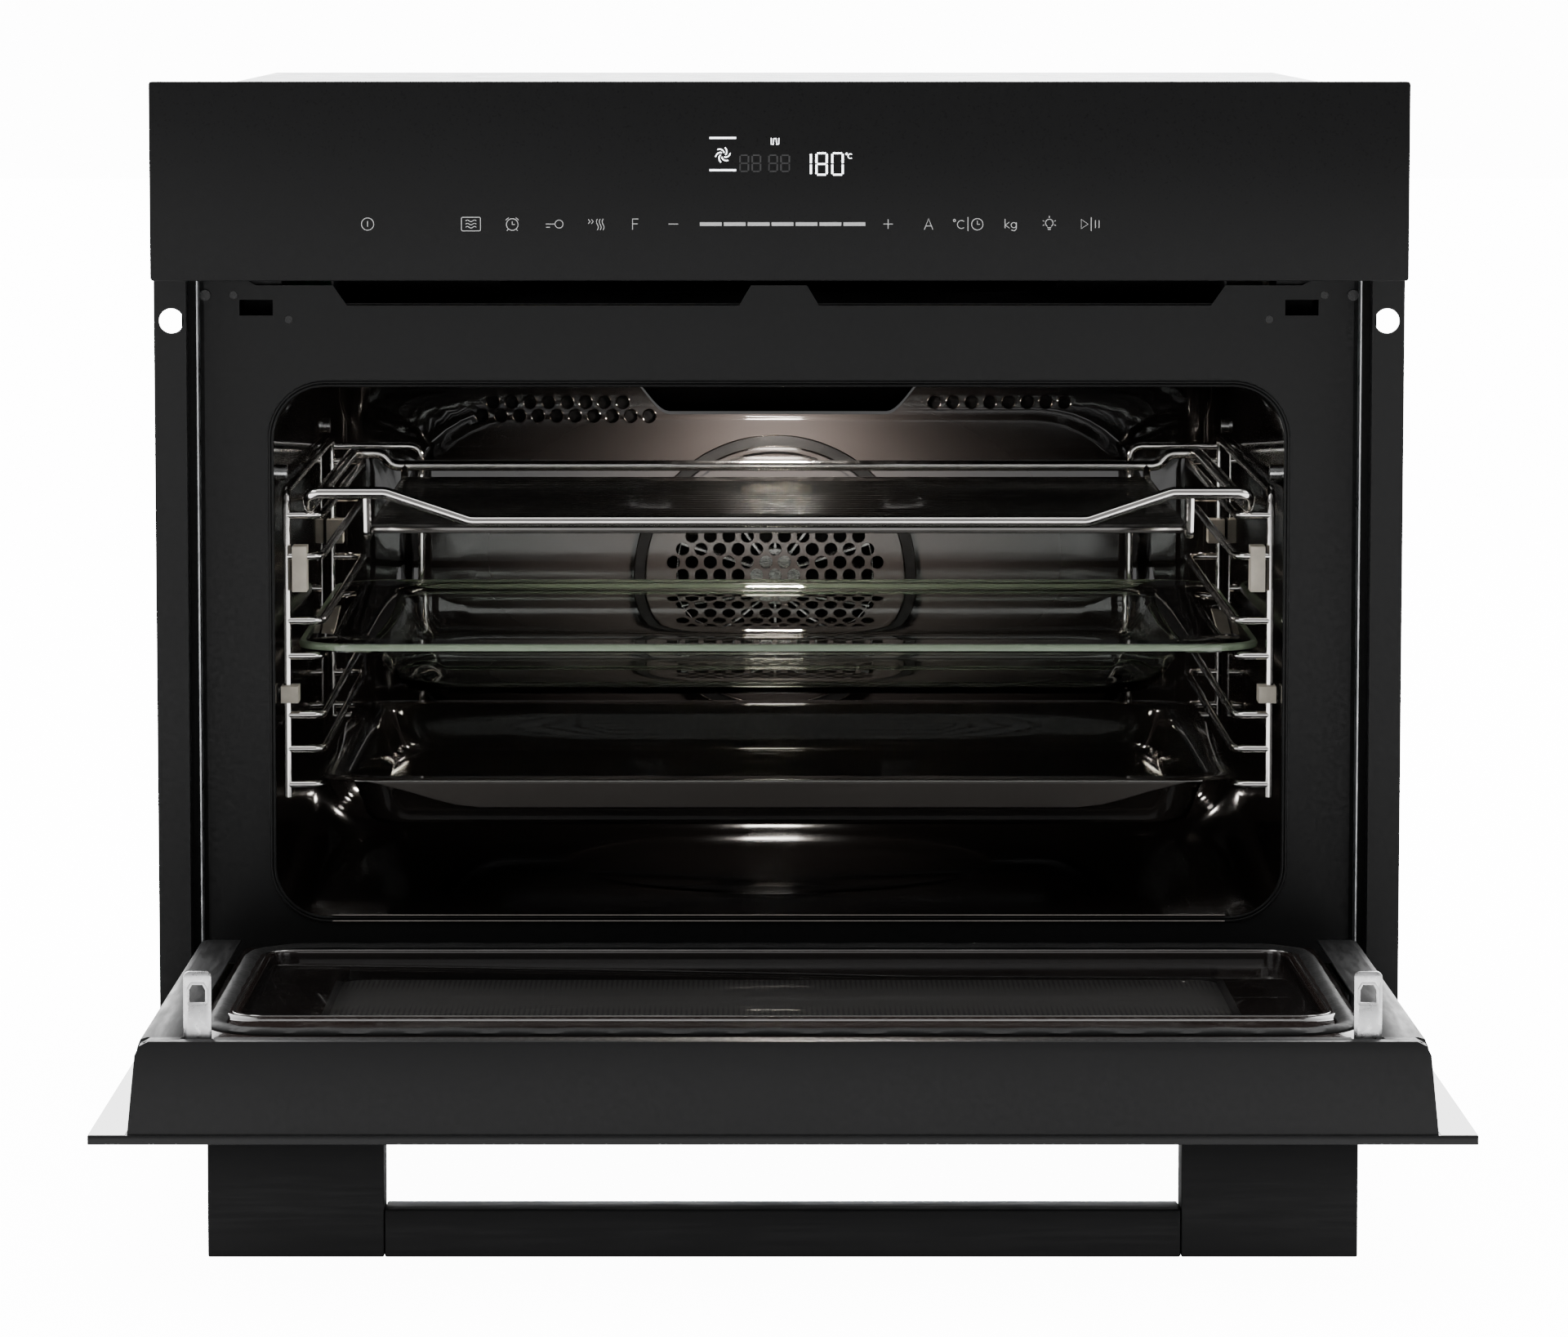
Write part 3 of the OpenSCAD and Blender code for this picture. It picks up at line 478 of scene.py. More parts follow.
def circle_like(outline, r, centre=(0, 0)):
    """A circle with one point for each point of an outline, in the same directions."""
    points = []
    for x, z in outline:
        a = math.atan2(z - centre[1], x - centre[0])
        points.append((centre[0] + r * math.cos(a), centre[1] + r * math.sin(a)))
    return points


def loft(name, rings, loop=False, caps=(False, False), smooth=35, turn=None):
    """A skin through rings that all have the same number of points."""
    n = len(rings[0])
    points = [p for ring in rings for p in ring]
    faces = []
    count = len(rings) if loop else len(rings) - 1
    for k in range(count):
        a, b = k * n, ((k + 1) % len(rings)) * n
        faces += [(a + i, a + (i + 1) % n, b + (i + 1) % n, b + i) for i in range(n)]
    if caps[0]:
        faces.append(tuple(range(n)))
    if caps[1]:
        last = (len(rings) - 1) * n
        faces.append(tuple(range(last + n - 1, last - 1, -1)))
    return make_object(name, points, faces, smooth, turn)


def filleted(points, r, closed=False, steps=6):
    """The line through the points, with each corner rounded."""
    points = [Vector(p) for p in points]
    out = []
    n = len(points)
    for i, p in enumerate(points):
        if not closed and i in (0, n - 1):
            out.append(p)
            continue
        before, after = points[i - 1] - p, points[(i + 1) % n] - p
        u, v = before.normalized(), after.normalized()
        half = u.angle(v) / 2
        if half > math.radians(88):
            out.append(p)
            continue
        reach = min(r / math.tan(half), before.length * 0.49, after.length * 0.49)
        start, end = p + u * reach, p + v * reach
        for k in range(steps + 1):
            t = k / steps
            out.append(start * (1 - t) ** 2 + p * 2 * t * (1 - t) + end * t**2)
    return out


def tubes(name, lines, d, sides=12, turn=None, smooth=60):
    """Round wires along lines; each line is (points, closed)."""
    curve = bpy.data.curves.new(name, "CURVE")
    curve.dimensions = "3D"
    curve.bevel_depth = d / 2 * MM
    curve.bevel_resolution = max(0, sides // 4 - 1)
    curve.use_fill_caps = True
    for points, closed in lines:
        spline = curve.splines.new("POLY")
        spline.points.add(len(points) - 1)
        for slot, p in zip(spline.points, points):
            q = (turn @ Vector(p) if turn else Vector(p)) * MM
            slot.co = (q.x, q.y, q.z, 1)
        spline.use_cyclic_u = closed
    helper = add_object(name + ".line", curve)
    mesh = evaluated_mesh(helper)
    bpy.data.objects.remove(helper)
    mesh.name = name
    obj = add_object(name, mesh)
    round_off(mesh, smooth)
    return obj


def joined(name, objects):
    """One object made of several."""
    work = bmesh.new()
    for obj in objects:
        part = obj.data.copy()
        part.transform(obj.matrix_world)
        work.from_mesh(part)
        bpy.data.objects.remove(obj)
    mesh = bpy.data.meshes.new(name)
    work.to_mesh(mesh)
    work.free()
    obj = add_object(name, mesh)
    round_off(mesh, 40)
    return obj


# ---------------------------------------------------------------- control panel

panel_low, panel_high = part_box("control_panel_glass")
panel_mid_z = (panel_low.z + panel_high.z) / 2
panel_front_y = panel_low.y

panel = extruded(
    "panel_glass",
    round_rect((panel_high.x - panel_low.x) / 2, (panel_high.z - panel_low.z) / 2, 1.5, (0, panel_mid_z)),
    panel_low.y, panel_high.y,
)
as_piece(bevelled(panel, 0.7, 3), "oven", "black_glass", ["control_panel_glass"])


def flat_lines(name, lines, width, material):
    """Printed lines on the panel glass: flat ribbons that stand 0.05 mm off it."""
    obj = tubes(name, [([(x, panel_front_y, z) for x, z in pts], closed) for pts, closed in lines], width, 8)
    for v in obj.data.vertices:
        v.co.y = (panel_front_y + (v.co.y / MM - panel_front_y) * 0.3) * MM
    return as_piece(obj, "oven", material)


def at(x, z, pts, closed=False):
    """A line whose points are given from the middle of an icon."""
    return [(x + px, z + pz) for px, pz in pts], closed


def arc(x, z, r, start, end, steps=14):
    """Points along an arc between two angles in degrees."""
    return [
        (x + r * math.cos(math.radians(start + (end - start) * i / steps)),
         z + r * math.sin(math.radians(start + (end - start) * i / steps)))
        for i in range(steps + 1)
    ]


TOUCH_Z = 387.9  # height of the row of touch icons
TOUCH_LINE = 0.26
SLIDER_X, SLIDER_STEP, SLIDER_BAR = -37.6, 11.3, 10.3


def wave(x, z, length, height, turns=1.5, steps=12, upright=False):
    """A short wavy line, along X or along Z."""
    points = []
    for i in range(steps + 1):
        t = i / steps
        along, off = (t - 0.5) * length, height / 2 * math.sin(2 * math.pi * turns * t)
        points.append((x + off, z + along) if upright else (x + along, z + off))
    return points, False


icons = []
# power
icons += [(arc(-194.5, TOUCH_Z, 2.9, 0, 360, 24), False), at(-194.5, TOUCH_Z, [(0, -1.2), (0, 1.4)])]
# oven with waves
icons += [(round_rect(4.5, 3.2, 0.6, (-145.7, TOUCH_Z), 3), True)]
icons += [wave(-145.7, TOUCH_Z + dz, 5.0, 0.8) for dz in (-1.5, 0, 1.5)]
# alarm clock
icons += [
    (arc(-126.2, TOUCH_Z - 0.2, 2.75, 0, 360, 22), False),
    at(-126.2, TOUCH_Z - 0.2, [(0, 1.5), (0, 0), (1.2, 0)]),
    (arc(-126.2, TOUCH_Z - 0.2, 3.6, 118, 146, 4), False),
    (arc(-126.2, TOUCH_Z - 0.2, 3.6, 34, 62, 4), False),
    at(-126.2, TOUCH_Z - 0.2, [(-1.9, -2.2), (-2.5, -2.9)]),
    at(-126.2, TOUCH_Z - 0.2, [(1.9, -2.2), (2.5, -2.9)]),
]
# key
icons += [
    (arc(-104.1, TOUCH_Z, 1.9, 0, 360, 16), False), at(-106.0, TOUCH_Z, [(0, 0), (-4.3, 0)]),
    at(-110.2, TOUCH_Z, [(0, -1.5), (1.8, -1.5)]),
]
# steam
icons += [
    at(-89.8, TOUCH_Z + 1.2, [(-0.5, -1.0), (0.4, 0), (-0.5, 1.0)]),
    at(-88.3, TOUCH_Z + 1.2, [(-0.5, -1.0), (0.4, 0), (-0.5, 1.0)]),
    *[wave(-86.0 + 1.35 * i, TOUCH_Z - 0.2, 5.2, 0.9, 1.0, 10, True) for i in range(3)],
]
# function, less, more, automatic
icons += [
    at(-68.1, TOUCH_Z, [(-1.3, -2.6), (-1.3, 2.4), (1.4, 2.4)]),
    at(-68.1, TOUCH_Z, [(-1.3, 0.1), (1.1, 0.1)]),
]
icons += [at(-50.1, TOUCH_Z, [(-2.2, 0), (2.2, 0)])]
icons += [at(51.3, TOUCH_Z, [(-2.2, 0), (2.2, 0)]), at(51.3, TOUCH_Z, [(0, -2.2), (0, 2.2)])]
icons += [
    at(70.4, TOUCH_Z, [(-2.0, -2.6), (0, 2.6), (2.0, -2.6)]),
    at(70.4, TOUCH_Z, [(-1.4, -0.9), (1.4, -0.9)]),
]
# degrees and clock
icons += [
    (arc(82.6, TOUCH_Z + 1.7, 0.55, 0, 360, 8), False), (arc(85.9, TOUCH_Z - 0.2, 1.9, 50, 310, 12), False),
    at(89.0, TOUCH_Z, [(0, -3.3), (0, 3.3)]), (arc(93.4, TOUCH_Z - 0.1, 2.7, 0, 360, 20), False),
    at(93.4, TOUCH_Z - 0.1, [(0, 1.6), (0, 0), (1.2, 0)]),
]
# weight
icons += [
    at(107.4, TOUCH_Z, [(-0.9, -1.9), (-0.9, 2.4)]),
    at(107.4, TOUCH_Z, [(1.1, 0.9), (-0.8, -0.5), (1.2, -1.9)]),
    (arc(110.6, TOUCH_Z - 0.5, 1.25, 0, 360, 12), False),
    at(110.6, TOUCH_Z, [(1.25, 0.8), (1.25, -2.3), (0.3, -3.2), (-1.1, -2.8)]),
]
# lamp
icons += [
    (arc(127.4, TOUCH_Z + 0.5, 1.8, -62, 242, 16), False), at(127.4, TOUCH_Z, [(-0.9, -1.7), (0.9, -1.7)]),
    at(127.4, TOUCH_Z, [(-0.7, -2.5), (0.7, -2.5)]),
    *[
        at(127.4, TOUCH_Z + 0.5,
           [(2.5 * math.cos(a), 2.5 * math.sin(a)), (3.3 * math.cos(a), 3.3 * math.sin(a))])
        for a in (math.radians(k) for k in (-20, 20, 90, 160, 200))
    ],
]
# start and pause
icons += [
    at(144.0, TOUCH_Z, [(-1.5, -2.2), (1.7, 0), (-1.5, 2.2)], True),
    at(147.2, TOUCH_Z, [(0, -3.2), (0, 3.2)]), at(149.2, TOUCH_Z, [(0, -1.8), (0, 1.8)]),
    at(150.9, TOUCH_Z, [(0, -1.8), (0, 1.8)]),
]
flat_lines("touch_icons", icons, TOUCH_LINE, "icon_light")


def flat_bars(name, bars, material):
    """Small printed rectangles on the panel glass: each is (x0, z0, x1, z1)."""
    made = []
    for x0, z0, x1, z1 in bars:
        outline = [(x0, z0), (x1, z0), (x1, z1), (x0, z1)]
        made.append(extruded("bar", outline, panel_front_y - 0.1, panel_front_y + 0.1))
    return as_piece(joined(name, made), "oven", material)


slider = []
for i in range(7):
    x = SLIDER_X + SLIDER_STEP * i
    slider.append((x, TOUCH_Z - 0.85, x + SLIDER_BAR, TOUCH_Z + 0.85))
flat_bars("touch_slider", slider, "icon_grey")

# Which of the seven bars each figure of the display lights
SEGMENTS = {"0": "abcdef", "1": "bc", "8": "abcdefg"}


def figure_lines(char, x, z, w, h):
    """The lit bars of a figure whose lower left corner is at x and z."""
    m, gap = h / 2, 0.35
    bars = {
        "a": [(gap, h), (w - gap, h)], "b": [(w, h - gap), (w, m + gap)], "c": [(w, m - gap), (w, gap)],
        "d": [(gap, 0), (w - gap, 0)], "e": [(0, gap), (0, m - gap)], "f": [(0, m + gap), (0, h - gap)],
        "g": [(gap, m), (w - gap, m)],
    }
    return [([(x + px, z + pz) for px, pz in bars[k]], False) for k in SEGMENTS[char]]


FAN_ICON_X, FAN_ICON_Z = -26.7, 420.5

bright = []
for i, char in enumerate("180"):
    bright += figure_lines(char, 9.9 + i * 7.5, 411.2, 4.9, 10.1)
flat_lines("display_figures", bright, 0.95, "display_bright")
unit = [(arc(31.6, 421.0, 0.4, 0, 360, 8), False), (arc(33.4, 419.9, 1.1, 50, 310, 10), False)]
ghost = []
for x in (-18.6, -12.9, -5.0, 0.7):
    ghost += figure_lines("8", x, 412.8, 3.9, 7.6)
flat_lines("display_ghost_figures", ghost, 0.8, "icon_dim")
flat_bars("display_bars", [(-33, z - 0.42, -20.5, z + 0.42) for z in (428.5, 413.3)], "display_bright")
blades = []
for k in range(6):
    a = math.radians(60 * k)
    blade = []
    for i in range(6):
        r, bend = 1.1 + 0.5 * i, a + 0.26 * i
        blade.append((FAN_ICON_X + r * math.cos(bend), FAN_ICON_Z + r * math.sin(bend)))
    blades.append((blade, False))
flat_lines("display_fan_symbol", blades, 0.6, "display_bright")
heat = [
    (-3.9, 428.4), (-3.9, 425.6), (-2.9, 425.4), (-2.7, 428.2), (-1.6, 428.2), (-1.4, 425.4),
    (-0.4, 425.6), (-0.3, 428.4),
]
flat_lines("display_small_symbols", unit + [(heat, False)], 0.42, "display_bright")

# Black strips over the front edges of the side panels, as painted shade in the gap there; their inner edge leaves
# room for the rails of the closed door
SHADE_STRIP_IN, SHADE_STRIP_BEND, SHADE_STRIP_OUT = 278.7, 280.3, 285.7
side_high = part_box("side_panel_right")[1]
face_high = part_box("front_frame")[1]
shade_strips = []
for s in (-1, 1):
    edge_outline = [
        (SHADE_STRIP_IN, -12.5), (SHADE_STRIP_OUT, -12.5), (SHADE_STRIP_OUT, -12.1),
        (SHADE_STRIP_BEND, -12.1), (SHADE_STRIP_BEND, -10), (SHADE_STRIP_IN, -10),
    ]
    shade_strips.append(extruded_up("shade_strip", [(s * x, y) for x, y in edge_outline], 8, panel_low.z - 1))
    back_outline = [(face_high.x - 0.1, 0.1), (side_high.x - 0.9, 0.1), (side_high.x - 0.9, 1.0),
                    (face_high.x - 0.1, 1.0)]
    shade_strips.append(extruded_up("shade_strip", [(s * x, y) for x, y in back_outline], 28, panel_low.z - 1))
as_piece(joined("side_edge_shade_strips", shade_strips), "oven", "painted_shade_black")

# ---------------------------------------------------------------- door, made closed and turned open

CAVITY_Z = 179.5  # height of the middle of the cavity, and of the seal round it

glass_low, glass_high = door_box("door_outer_glass")
door_glass = extruded(
    "door_front_glass",
    round_rect(glass_high.x, (glass_high.z - glass_low.z) / 2, 0.7, (0, (glass_high.z + glass_low.z) / 2)),
    glass_low.y, glass_high.y, DOOR_TURN,
)
as_piece(bevelled(door_glass, 0.4, 3), "door", "door_black_glass", ["door_outer_glass"])

# Mirror-like margins on the back of the glass, outside the side rails
MARGIN_IN, MARGIN_OUT = 281.5, 297
margins = []
for s in (-1, 1):
    left, right = sorted((s * MARGIN_IN, s * MARGIN_OUT))
    margins.append(block("margin", (left, glass_high.y - 0.05, glass_low.z + 1),
                         (right, glass_high.y + 0.2, glass_high.z - 0.6), DOOR_TURN))
as_piece(joined("door_glass_margins", margins), "door", "margin_mirror")

# End cover of the door, with slots for the latch tabs and a recess for each case screw
TAB_HALF = 6.0
RECESS_X, RECESS_Z, RECESS_R = 275.4, 352, 3.4
cover_low, cover_high = door_box("door_top_cover")
tab_x = door_box("latch_tabs")[1].x - TAB_HALF

cover_outline = [
    (-cover_high.x, cover_low.y), (cover_high.x, cover_low.y), (277.2, cover_high.y - 6),
    (275.2, cover_high.y - 2), (271.2, cover_high.y), (-271.2, cover_high.y), (-275.2, cover_high.y - 2),
    (-277.2, cover_high.y - 6),
]
cover = extruded_up("door_end_cover", cover_outline, cover_low.z, cover_high.z, DOOR_TURN)
slots_cut = [
    block("cut_slot", (s * tab_x - 7, -22, cover_low.z - 2), (s * tab_x + 7, 4, cover_low.z + 5), DOOR_TURN)
    for s in (-1, 1)
]
slots_cut += [
    extruded("plug", circle(RECESS_R, (s * RECESS_X, RECESS_Z), 24), -2.2, 2, DOOR_TURN) for s in (-1, 1)
]
cut(cover, slots_cut)
as_piece(bevelled(cover, 0.6, 3), "door", "grey_paint", ["door_top_cover"])

# Side rails: folded sheet, open towards the middle of the door
RAIL_IN = 257
rail_low, rail_high = door_box("door_side_rails")
rails = []
for s in (-1, 1):
    outer = [
        (RAIL_IN, -41), (280.6, -41), (280.6, -38), (277.2, -5), (275.7, -1.4), (273, -0.6), (RAIL_IN, -0.6),
    ]
    inner = [
        (RAIL_IN, -1.9), (272.5, -1.9), (274.5, -2.6), (275.9, -6), (278.9, -37), (278.9, -39.6),
        (RAIL_IN, -39.6),
    ]
    outline = [(s * x, y) for x, y in outer + inner]
    rails.append(extruded_up("rail", outline, rail_low.z, rail_high.z, DOOR_TURN))
as_piece(bevelled(joined("door_rails", rails), 0.35, 2), "door", "rail_grey",
         ["door_side_rails"])

# Inner frame: enamelled sheet with a raised step round the window


def frame_ring(half_w, low_z, high_z, r, y):
    """One outline of the inner frame at a depth y."""
    return [(x, y, z) for x, z in round_rect(half_w, (high_z - low_z) / 2, r, (0, (low_z + high_z) / 2))]


inner_frame = loft(
    "door_inner_panel",
    [
        frame_ring(256, 37, 343, 6, -14), frame_ring(256, 37, 343, 6, -5.2),
        frame_ring(254.8, 38.2, 341.8, 6, -4.2),
        frame_ring(248.5, 57.5, 278.5, 20, -4.0), frame_ring(247.2, 58.8, 277.2, 19, -3.4),
        frame_ring(245.5, 60.5, 275.5, 18, -2.2), frame_ring(243.5, 62.5, 273.5, 17, -2.0),
        frame_ring(240.1, 65.9, 270.1, 13, -2.2), frame_ring(239.5, 66.5, 269.5, 12, -3.0),
        frame_ring(239.5, 66.5, 269.5, 12, -6.0), frame_ring(205, 78, 262, 12, -6.2),
        frame_ring(205, 78, 262, 12, -14),
    ],
    loop=True, turn=DOOR_TURN, smooth=50,
)
as_piece(inner_frame, "door", "brown_enamel", ["door_inner_frame"])

# Rubber seal: a soft wavy lip round the cavity mouth


def dense(outline, step=4.0):
    """The outline with extra points, a few millimetres apart."""
    out = []
    for i, p in enumerate(outline):
        q = outline[(i + 1) % len(outline)]
        gap = math.dist(p, q)
        count = max(1, round(gap / step))
        out += [(p[0] + (q[0] - p[0]) * k / count, p[1] + (q[1] - p[1]) * k / count) for k in range(count)]
    return out


# The seal's section: distance from its middle line, height, and how far that edge waves
SEAL_SECTION = (
    (-4.2, -4.0, 0), (-4.4, -2.6, 0.1), (-2.2, -1.5, 0.25), (0.4, -0.95, 0.12), (2.6, -1.6, 0.3),
    (4.3, -2.8, 0.1), (4.2, -4.0, 0),
)
seal_path = dense(round_rect(248.0, 134.0, 30, (0, CAVITY_Z), steps=16))
seal_rings = []
for offset, height, swing in SEAL_SECTION:
    ring = []
    for i, (x, z) in enumerate(seal_path):
        px, pz = seal_path[i - 1]
        nx, nz = seal_path[(i + 1) % len(seal_path)]
        tx, tz = nx - px, nz - pz
        size = math.hypot(tx, tz)
        swell = swing * math.sin(i * 0.9) + swing * 0.6 * math.sin(i * 0.37)
        ring.append((x + tz / size * offset, min(height + swell, -0.9), z - tx / size * offset))
    seal_rings.append(ring)
seal = loft("door_rubber_seal", seal_rings, loop=True, turn=DOOR_TURN, smooth=60)
as_piece(seal, "door", "seal_rubber", ["door_seal"])

inner_glass_low, inner_glass_high = door_box("door_inner_glass")
inner_glass = extruded(
    "door_inner_pane",
    round_rect(inner_glass_high.x, (inner_glass_high.z - inner_glass_low.z) / 2, 12,
               (0, (inner_glass_high.z + inner_glass_low.z) / 2)),
    inner_glass_low.y, inner_glass_high.y, DOOR_TURN,
)
as_piece(bevelled(inner_glass, 0.5, 2), "door", "door_glass", ["door_inner_glass"])
# A steel line along the crest of the raised step round the window, as a painted highlight
step_highlight_ring = [(x, -2.3, z) for x, z in round_rect(242.4, 104.8, 14, (0, 168))]
step_highlight = tubes("door_step_painted_highlight", [(step_highlight_ring, True)], 1.4, 10, DOOR_TURN)
as_piece(step_highlight, "door", "painted_highlight_steel")

# Latch tabs: plates with a round top and a window, which stand up from the open door
TAB_Z0, TAB_Z1 = 343.0, 345.0
TAB_CORNER = 2.6
tab_right = [(TAB_HALF, -17)] + arc(TAB_HALF - TAB_CORNER, 25.4, TAB_CORNER, 0, 90, 6)
tab_outline = tab_right + [(-x, y) for x, y in reversed(tab_right)]
tab_window = [(-3.4, 14.5), (3.4, 14.5), (3.4, 20.0), (2.2, 22.2), (-2.2, 22.2), (-3.4, 20.0)]
tabs = []
for s in (-1, 1):
    plate = extruded_up("tab", [(s * tab_x + x, y) for x, y in tab_outline], TAB_Z0, TAB_Z1, DOOR_TURN)
    hole = extruded_up("tab_window", [(s * tab_x + x, y) for x, y in tab_window], 340, 348, DOOR_TURN)
    tabs.append(cut(plate, [hole]))
    rim = [(s * tab_x + x * 1.22, 18.2 + (y - 18.2) * 1.2, TAB_Z1) for x, y in tab_window]
    tabs.append(tubes("tab_rim", [(filleted(rim, 1.0, True, 3), True)], 1.0, 8, DOOR_TURN))
as_piece(bevelled(joined("door_latch_tabs", tabs), 0.25, 2), "door", "silver_plate",
         ["latch_tabs"])

# Handle: a square bar between two end pieces that bend back to the door
bar_low, bar_high = door_box("handle_bar")
end_low, end_high = door_box("handle_ends")
grip = block("grip", bar_low, bar_high, DOOR_TURN)
as_piece(bevelled(grip, 0.9, 3), "door", "handle_black", ["handle_bar"])
ends = []
end_in = bar_high.x + 0.15
for s in (-1, 1):
    side = [(end_in, end_low.y), (end_high.x, end_low.y), (end_high.x, end_high.y), (end_in, end_high.y)]
    ends.append(extruded_up("end", [(s * x, y) for x, y in side], end_low.z, end_high.z, DOOR_TURN))
as_piece(bevelled(joined("handle_end_pieces", ends), 0.9, 3), "door", "handle_black",
         ["handle_ends"])

# ---------------------------------------------------------------- cavity

FAN_Z = 178.5
MOUTH_W, MOUTH_H, MOUTH_R = 243.0, 128.5, 25.0  # half width, half height and corner radius of the mouth
BEND_Y, BEND = 362, 38  # where the walls start to bend into the rear wall, and the radius of that bend
REAR_Y, REAR_R = 400.0, 60  # front face and corner radius of the rear wall
REAR_INSET = 42
FAN_OPENING_R = 79.5
SHEET = 1  # thickness of the enamelled sheet


def cavity_ring(inset, y, r):
    """One outline of the cavity, smaller than the mouth by the inset."""
    outline = round_rect(MOUTH_W - inset, MOUTH_H - inset, r, (0, CAVITY_Z), 10)
    return [(x, y, z) for x, z in outline]


def fan_ring(r, y):
    """A circle round the fan with as many points as a cavity ring."""
    outline = round_rect(MOUTH_W - 37, MOUTH_H - 37, REAR_R, (0, CAVITY_Z), 10)
    return [(x, y, z) for x, z in circle_like(outline, r, (0, FAN_Z))]


def bend_ring(step, thick):
    """One of the outlines round the bend; thick is 0 for the inner side of the sheet."""
    t = math.radians(90 * step / 8)
    reach = BEND + thick
    corner = MOUTH_R + thick + (REAR_R - MOUTH_R) * (1 - math.cos(t))
    return cavity_ring(BEND - reach * math.cos(t), BEND_Y + reach * math.sin(t), corner)


rings = [cavity_ring(0, y, MOUTH_R) for y in (-0.5, 60, BEND_Y)]
rings += [bend_ring(k, 0) for k in range(1, 9)]
rings += [
    cavity_ring(REAR_INSET, REAR_Y, REAR_R),
    cavity_ring(44.4, REAR_Y - 1.5, 58), cavity_ring(46, REAR_Y - 1.5, 57),
    fan_ring(FAN_OPENING_R, REAR_Y - 1.5), fan_ring(FAN_OPENING_R, REAR_Y),
    fan_ring(70, REAR_Y), fan_ring(70, REAR_Y + SHEET), cavity_ring(REAR_INSET, REAR_Y + SHEET, REAR_R),
]
rings += [bend_ring(k, SHEET) for k in range(8, -1, -1)]
rings += [cavity_ring(-1, 0.8, 26), cavity_ring(-3, 0.4, 28), cavity_ring(-3, -0.5, 28)]
liner = loft("cavity_liner", rings, loop=True, smooth=40)

# Rows of vent holes in the rear wall: first hole, height and number of holes
VENT_ROWS = ((-153.6, 273.2, 8), (-159.4, 265.7, 10), (86.5, 273.2, 8))
VENT_STEP = 10.1
VENTS = [(x0 + i * VENT_STEP, z) for x0, z, count in VENT_ROWS for i in range(count)]
vent_cutters = [extruded("vent", circle(3.5, hole, 16), REAR_Y - 6, REAR_Y + 6) for hole in VENTS]
cut(liner, [joined("vents", vent_cutters)], 40)
as_piece(liner, "oven", "black_enamel", ["cavity"])

fan_low = part_box("convection_fan")[0]
# A black disc at the back of the fan chamber, as painted shade that hides the bright chamber behind the fan cover
shade = extruded("fan_chamber_painted_shade", circle(94, (0, FAN_Z)), 439.2, 439.8)
cut(shade, [extruded("shaft_hole", circle(8, (0, FAN_Z), 24), 430, 450)])
as_piece(shade, "oven", "painted_shade_black")
# A black disc laid on the fan's aluminium disc, as painted shade, so the fan shows dark through the holes
disc = extruded("fan_disc_painted_shade", circle(53.4, (0, FAN_Z)), fan_low.y + 20.3, fan_low.y + 20.8)
as_piece(disc, "convection_fan", "painted_shade_black")

floor_rings = []
for r, h in ((111, 0.0), (108.5, 0.1), (106.5, 0.4), (104, 0.5), (60, 0.5), (1, 0.5)):
    floor_rings.append([(x, y, CAVITY_Z - MOUTH_H + h) for x, y in circle(r, (0, 185), 72)])
emboss = loft("cavity_floor_emboss", floor_rings, caps=(True, True), smooth=50)
as_piece(emboss, "oven", "black_enamel")

rim_lines = []
for grow in (0.7, 2.2):
    outline = round_rect(MOUTH_W + grow, MOUTH_H + grow, MOUTH_R + grow, (0, CAVITY_Z), 12)
    rim_lines.append(([(x, -0.4, z) for x, z in outline], True))
as_piece(tubes("cavity_mouth_rim", rim_lines, 1.6, 12), "oven", "rim_dark")
# Two steel lines along the bottom edge of the mouth, as painted highlights where the rounded sill catches light
# from above
sill_highlight_lines = [([(-216, y, z), (216, y, z)], False) for y, z in ((-1.0, 51.6), (-0.9, 48.7))]
as_piece(tubes("cavity_sill_painted_highlights", sill_highlight_lines, 1.0, 10), "oven", "painted_highlight_steel_dim")

# Thin steel rings round the vent holes, as painted highlights on the hole edges
vent_highlight_rings = [([(x, REAR_Y - 1.6, z) for x, z in circle(3.7, hole, 16)], True) for hole in VENTS]
as_piece(tubes("vent_hole_painted_highlights", vent_highlight_rings, 0.6, 8), "oven", "painted_highlight_steel_dim")
# Black plates behind the vent holes, as painted shade in the holes
shades = [
    block("shade", (-166, 401.3, 260), (-62, 401.8, 279)),
    block("shade", (80, 401.3, 267), (164, 401.8, 279)),
]
as_piece(joined("vent_shades", shades), "oven", "painted_shade_black")

# Painted shade and painted highlights on the fan cover: a dark band that stands for the shade in a groove round
# it, with a steel line along each edge as a painted highlight
BAND_IN, BAND_OUT = 71.2, 76.4
cover_face_y = part_box("fan_cover")[0].y
ring_front, ring_back = cover_face_y - 0.3, cover_face_y + 0.5
band_section = ((BAND_IN, ring_front), (BAND_OUT, ring_front), (BAND_OUT, ring_back), (BAND_IN, ring_back))
band_rings = [[(x, y, z) for x, z in circle(r, (0, FAN_Z), 96)] for r, y in band_section]
band = loft("fan_cover_band", band_rings, loop=True)
as_piece(band, "oven", "rim_dark")
band_highlight_lines = [([(x, ring_front, z) for x, z in circle(r, (0, FAN_Z), 96)], True) for r in (70.8, 76.8)]
as_piece(tubes("fan_cover_band_painted_highlights", band_highlight_lines, 0.7, 8), "oven", "painted_highlight_steel_dim")

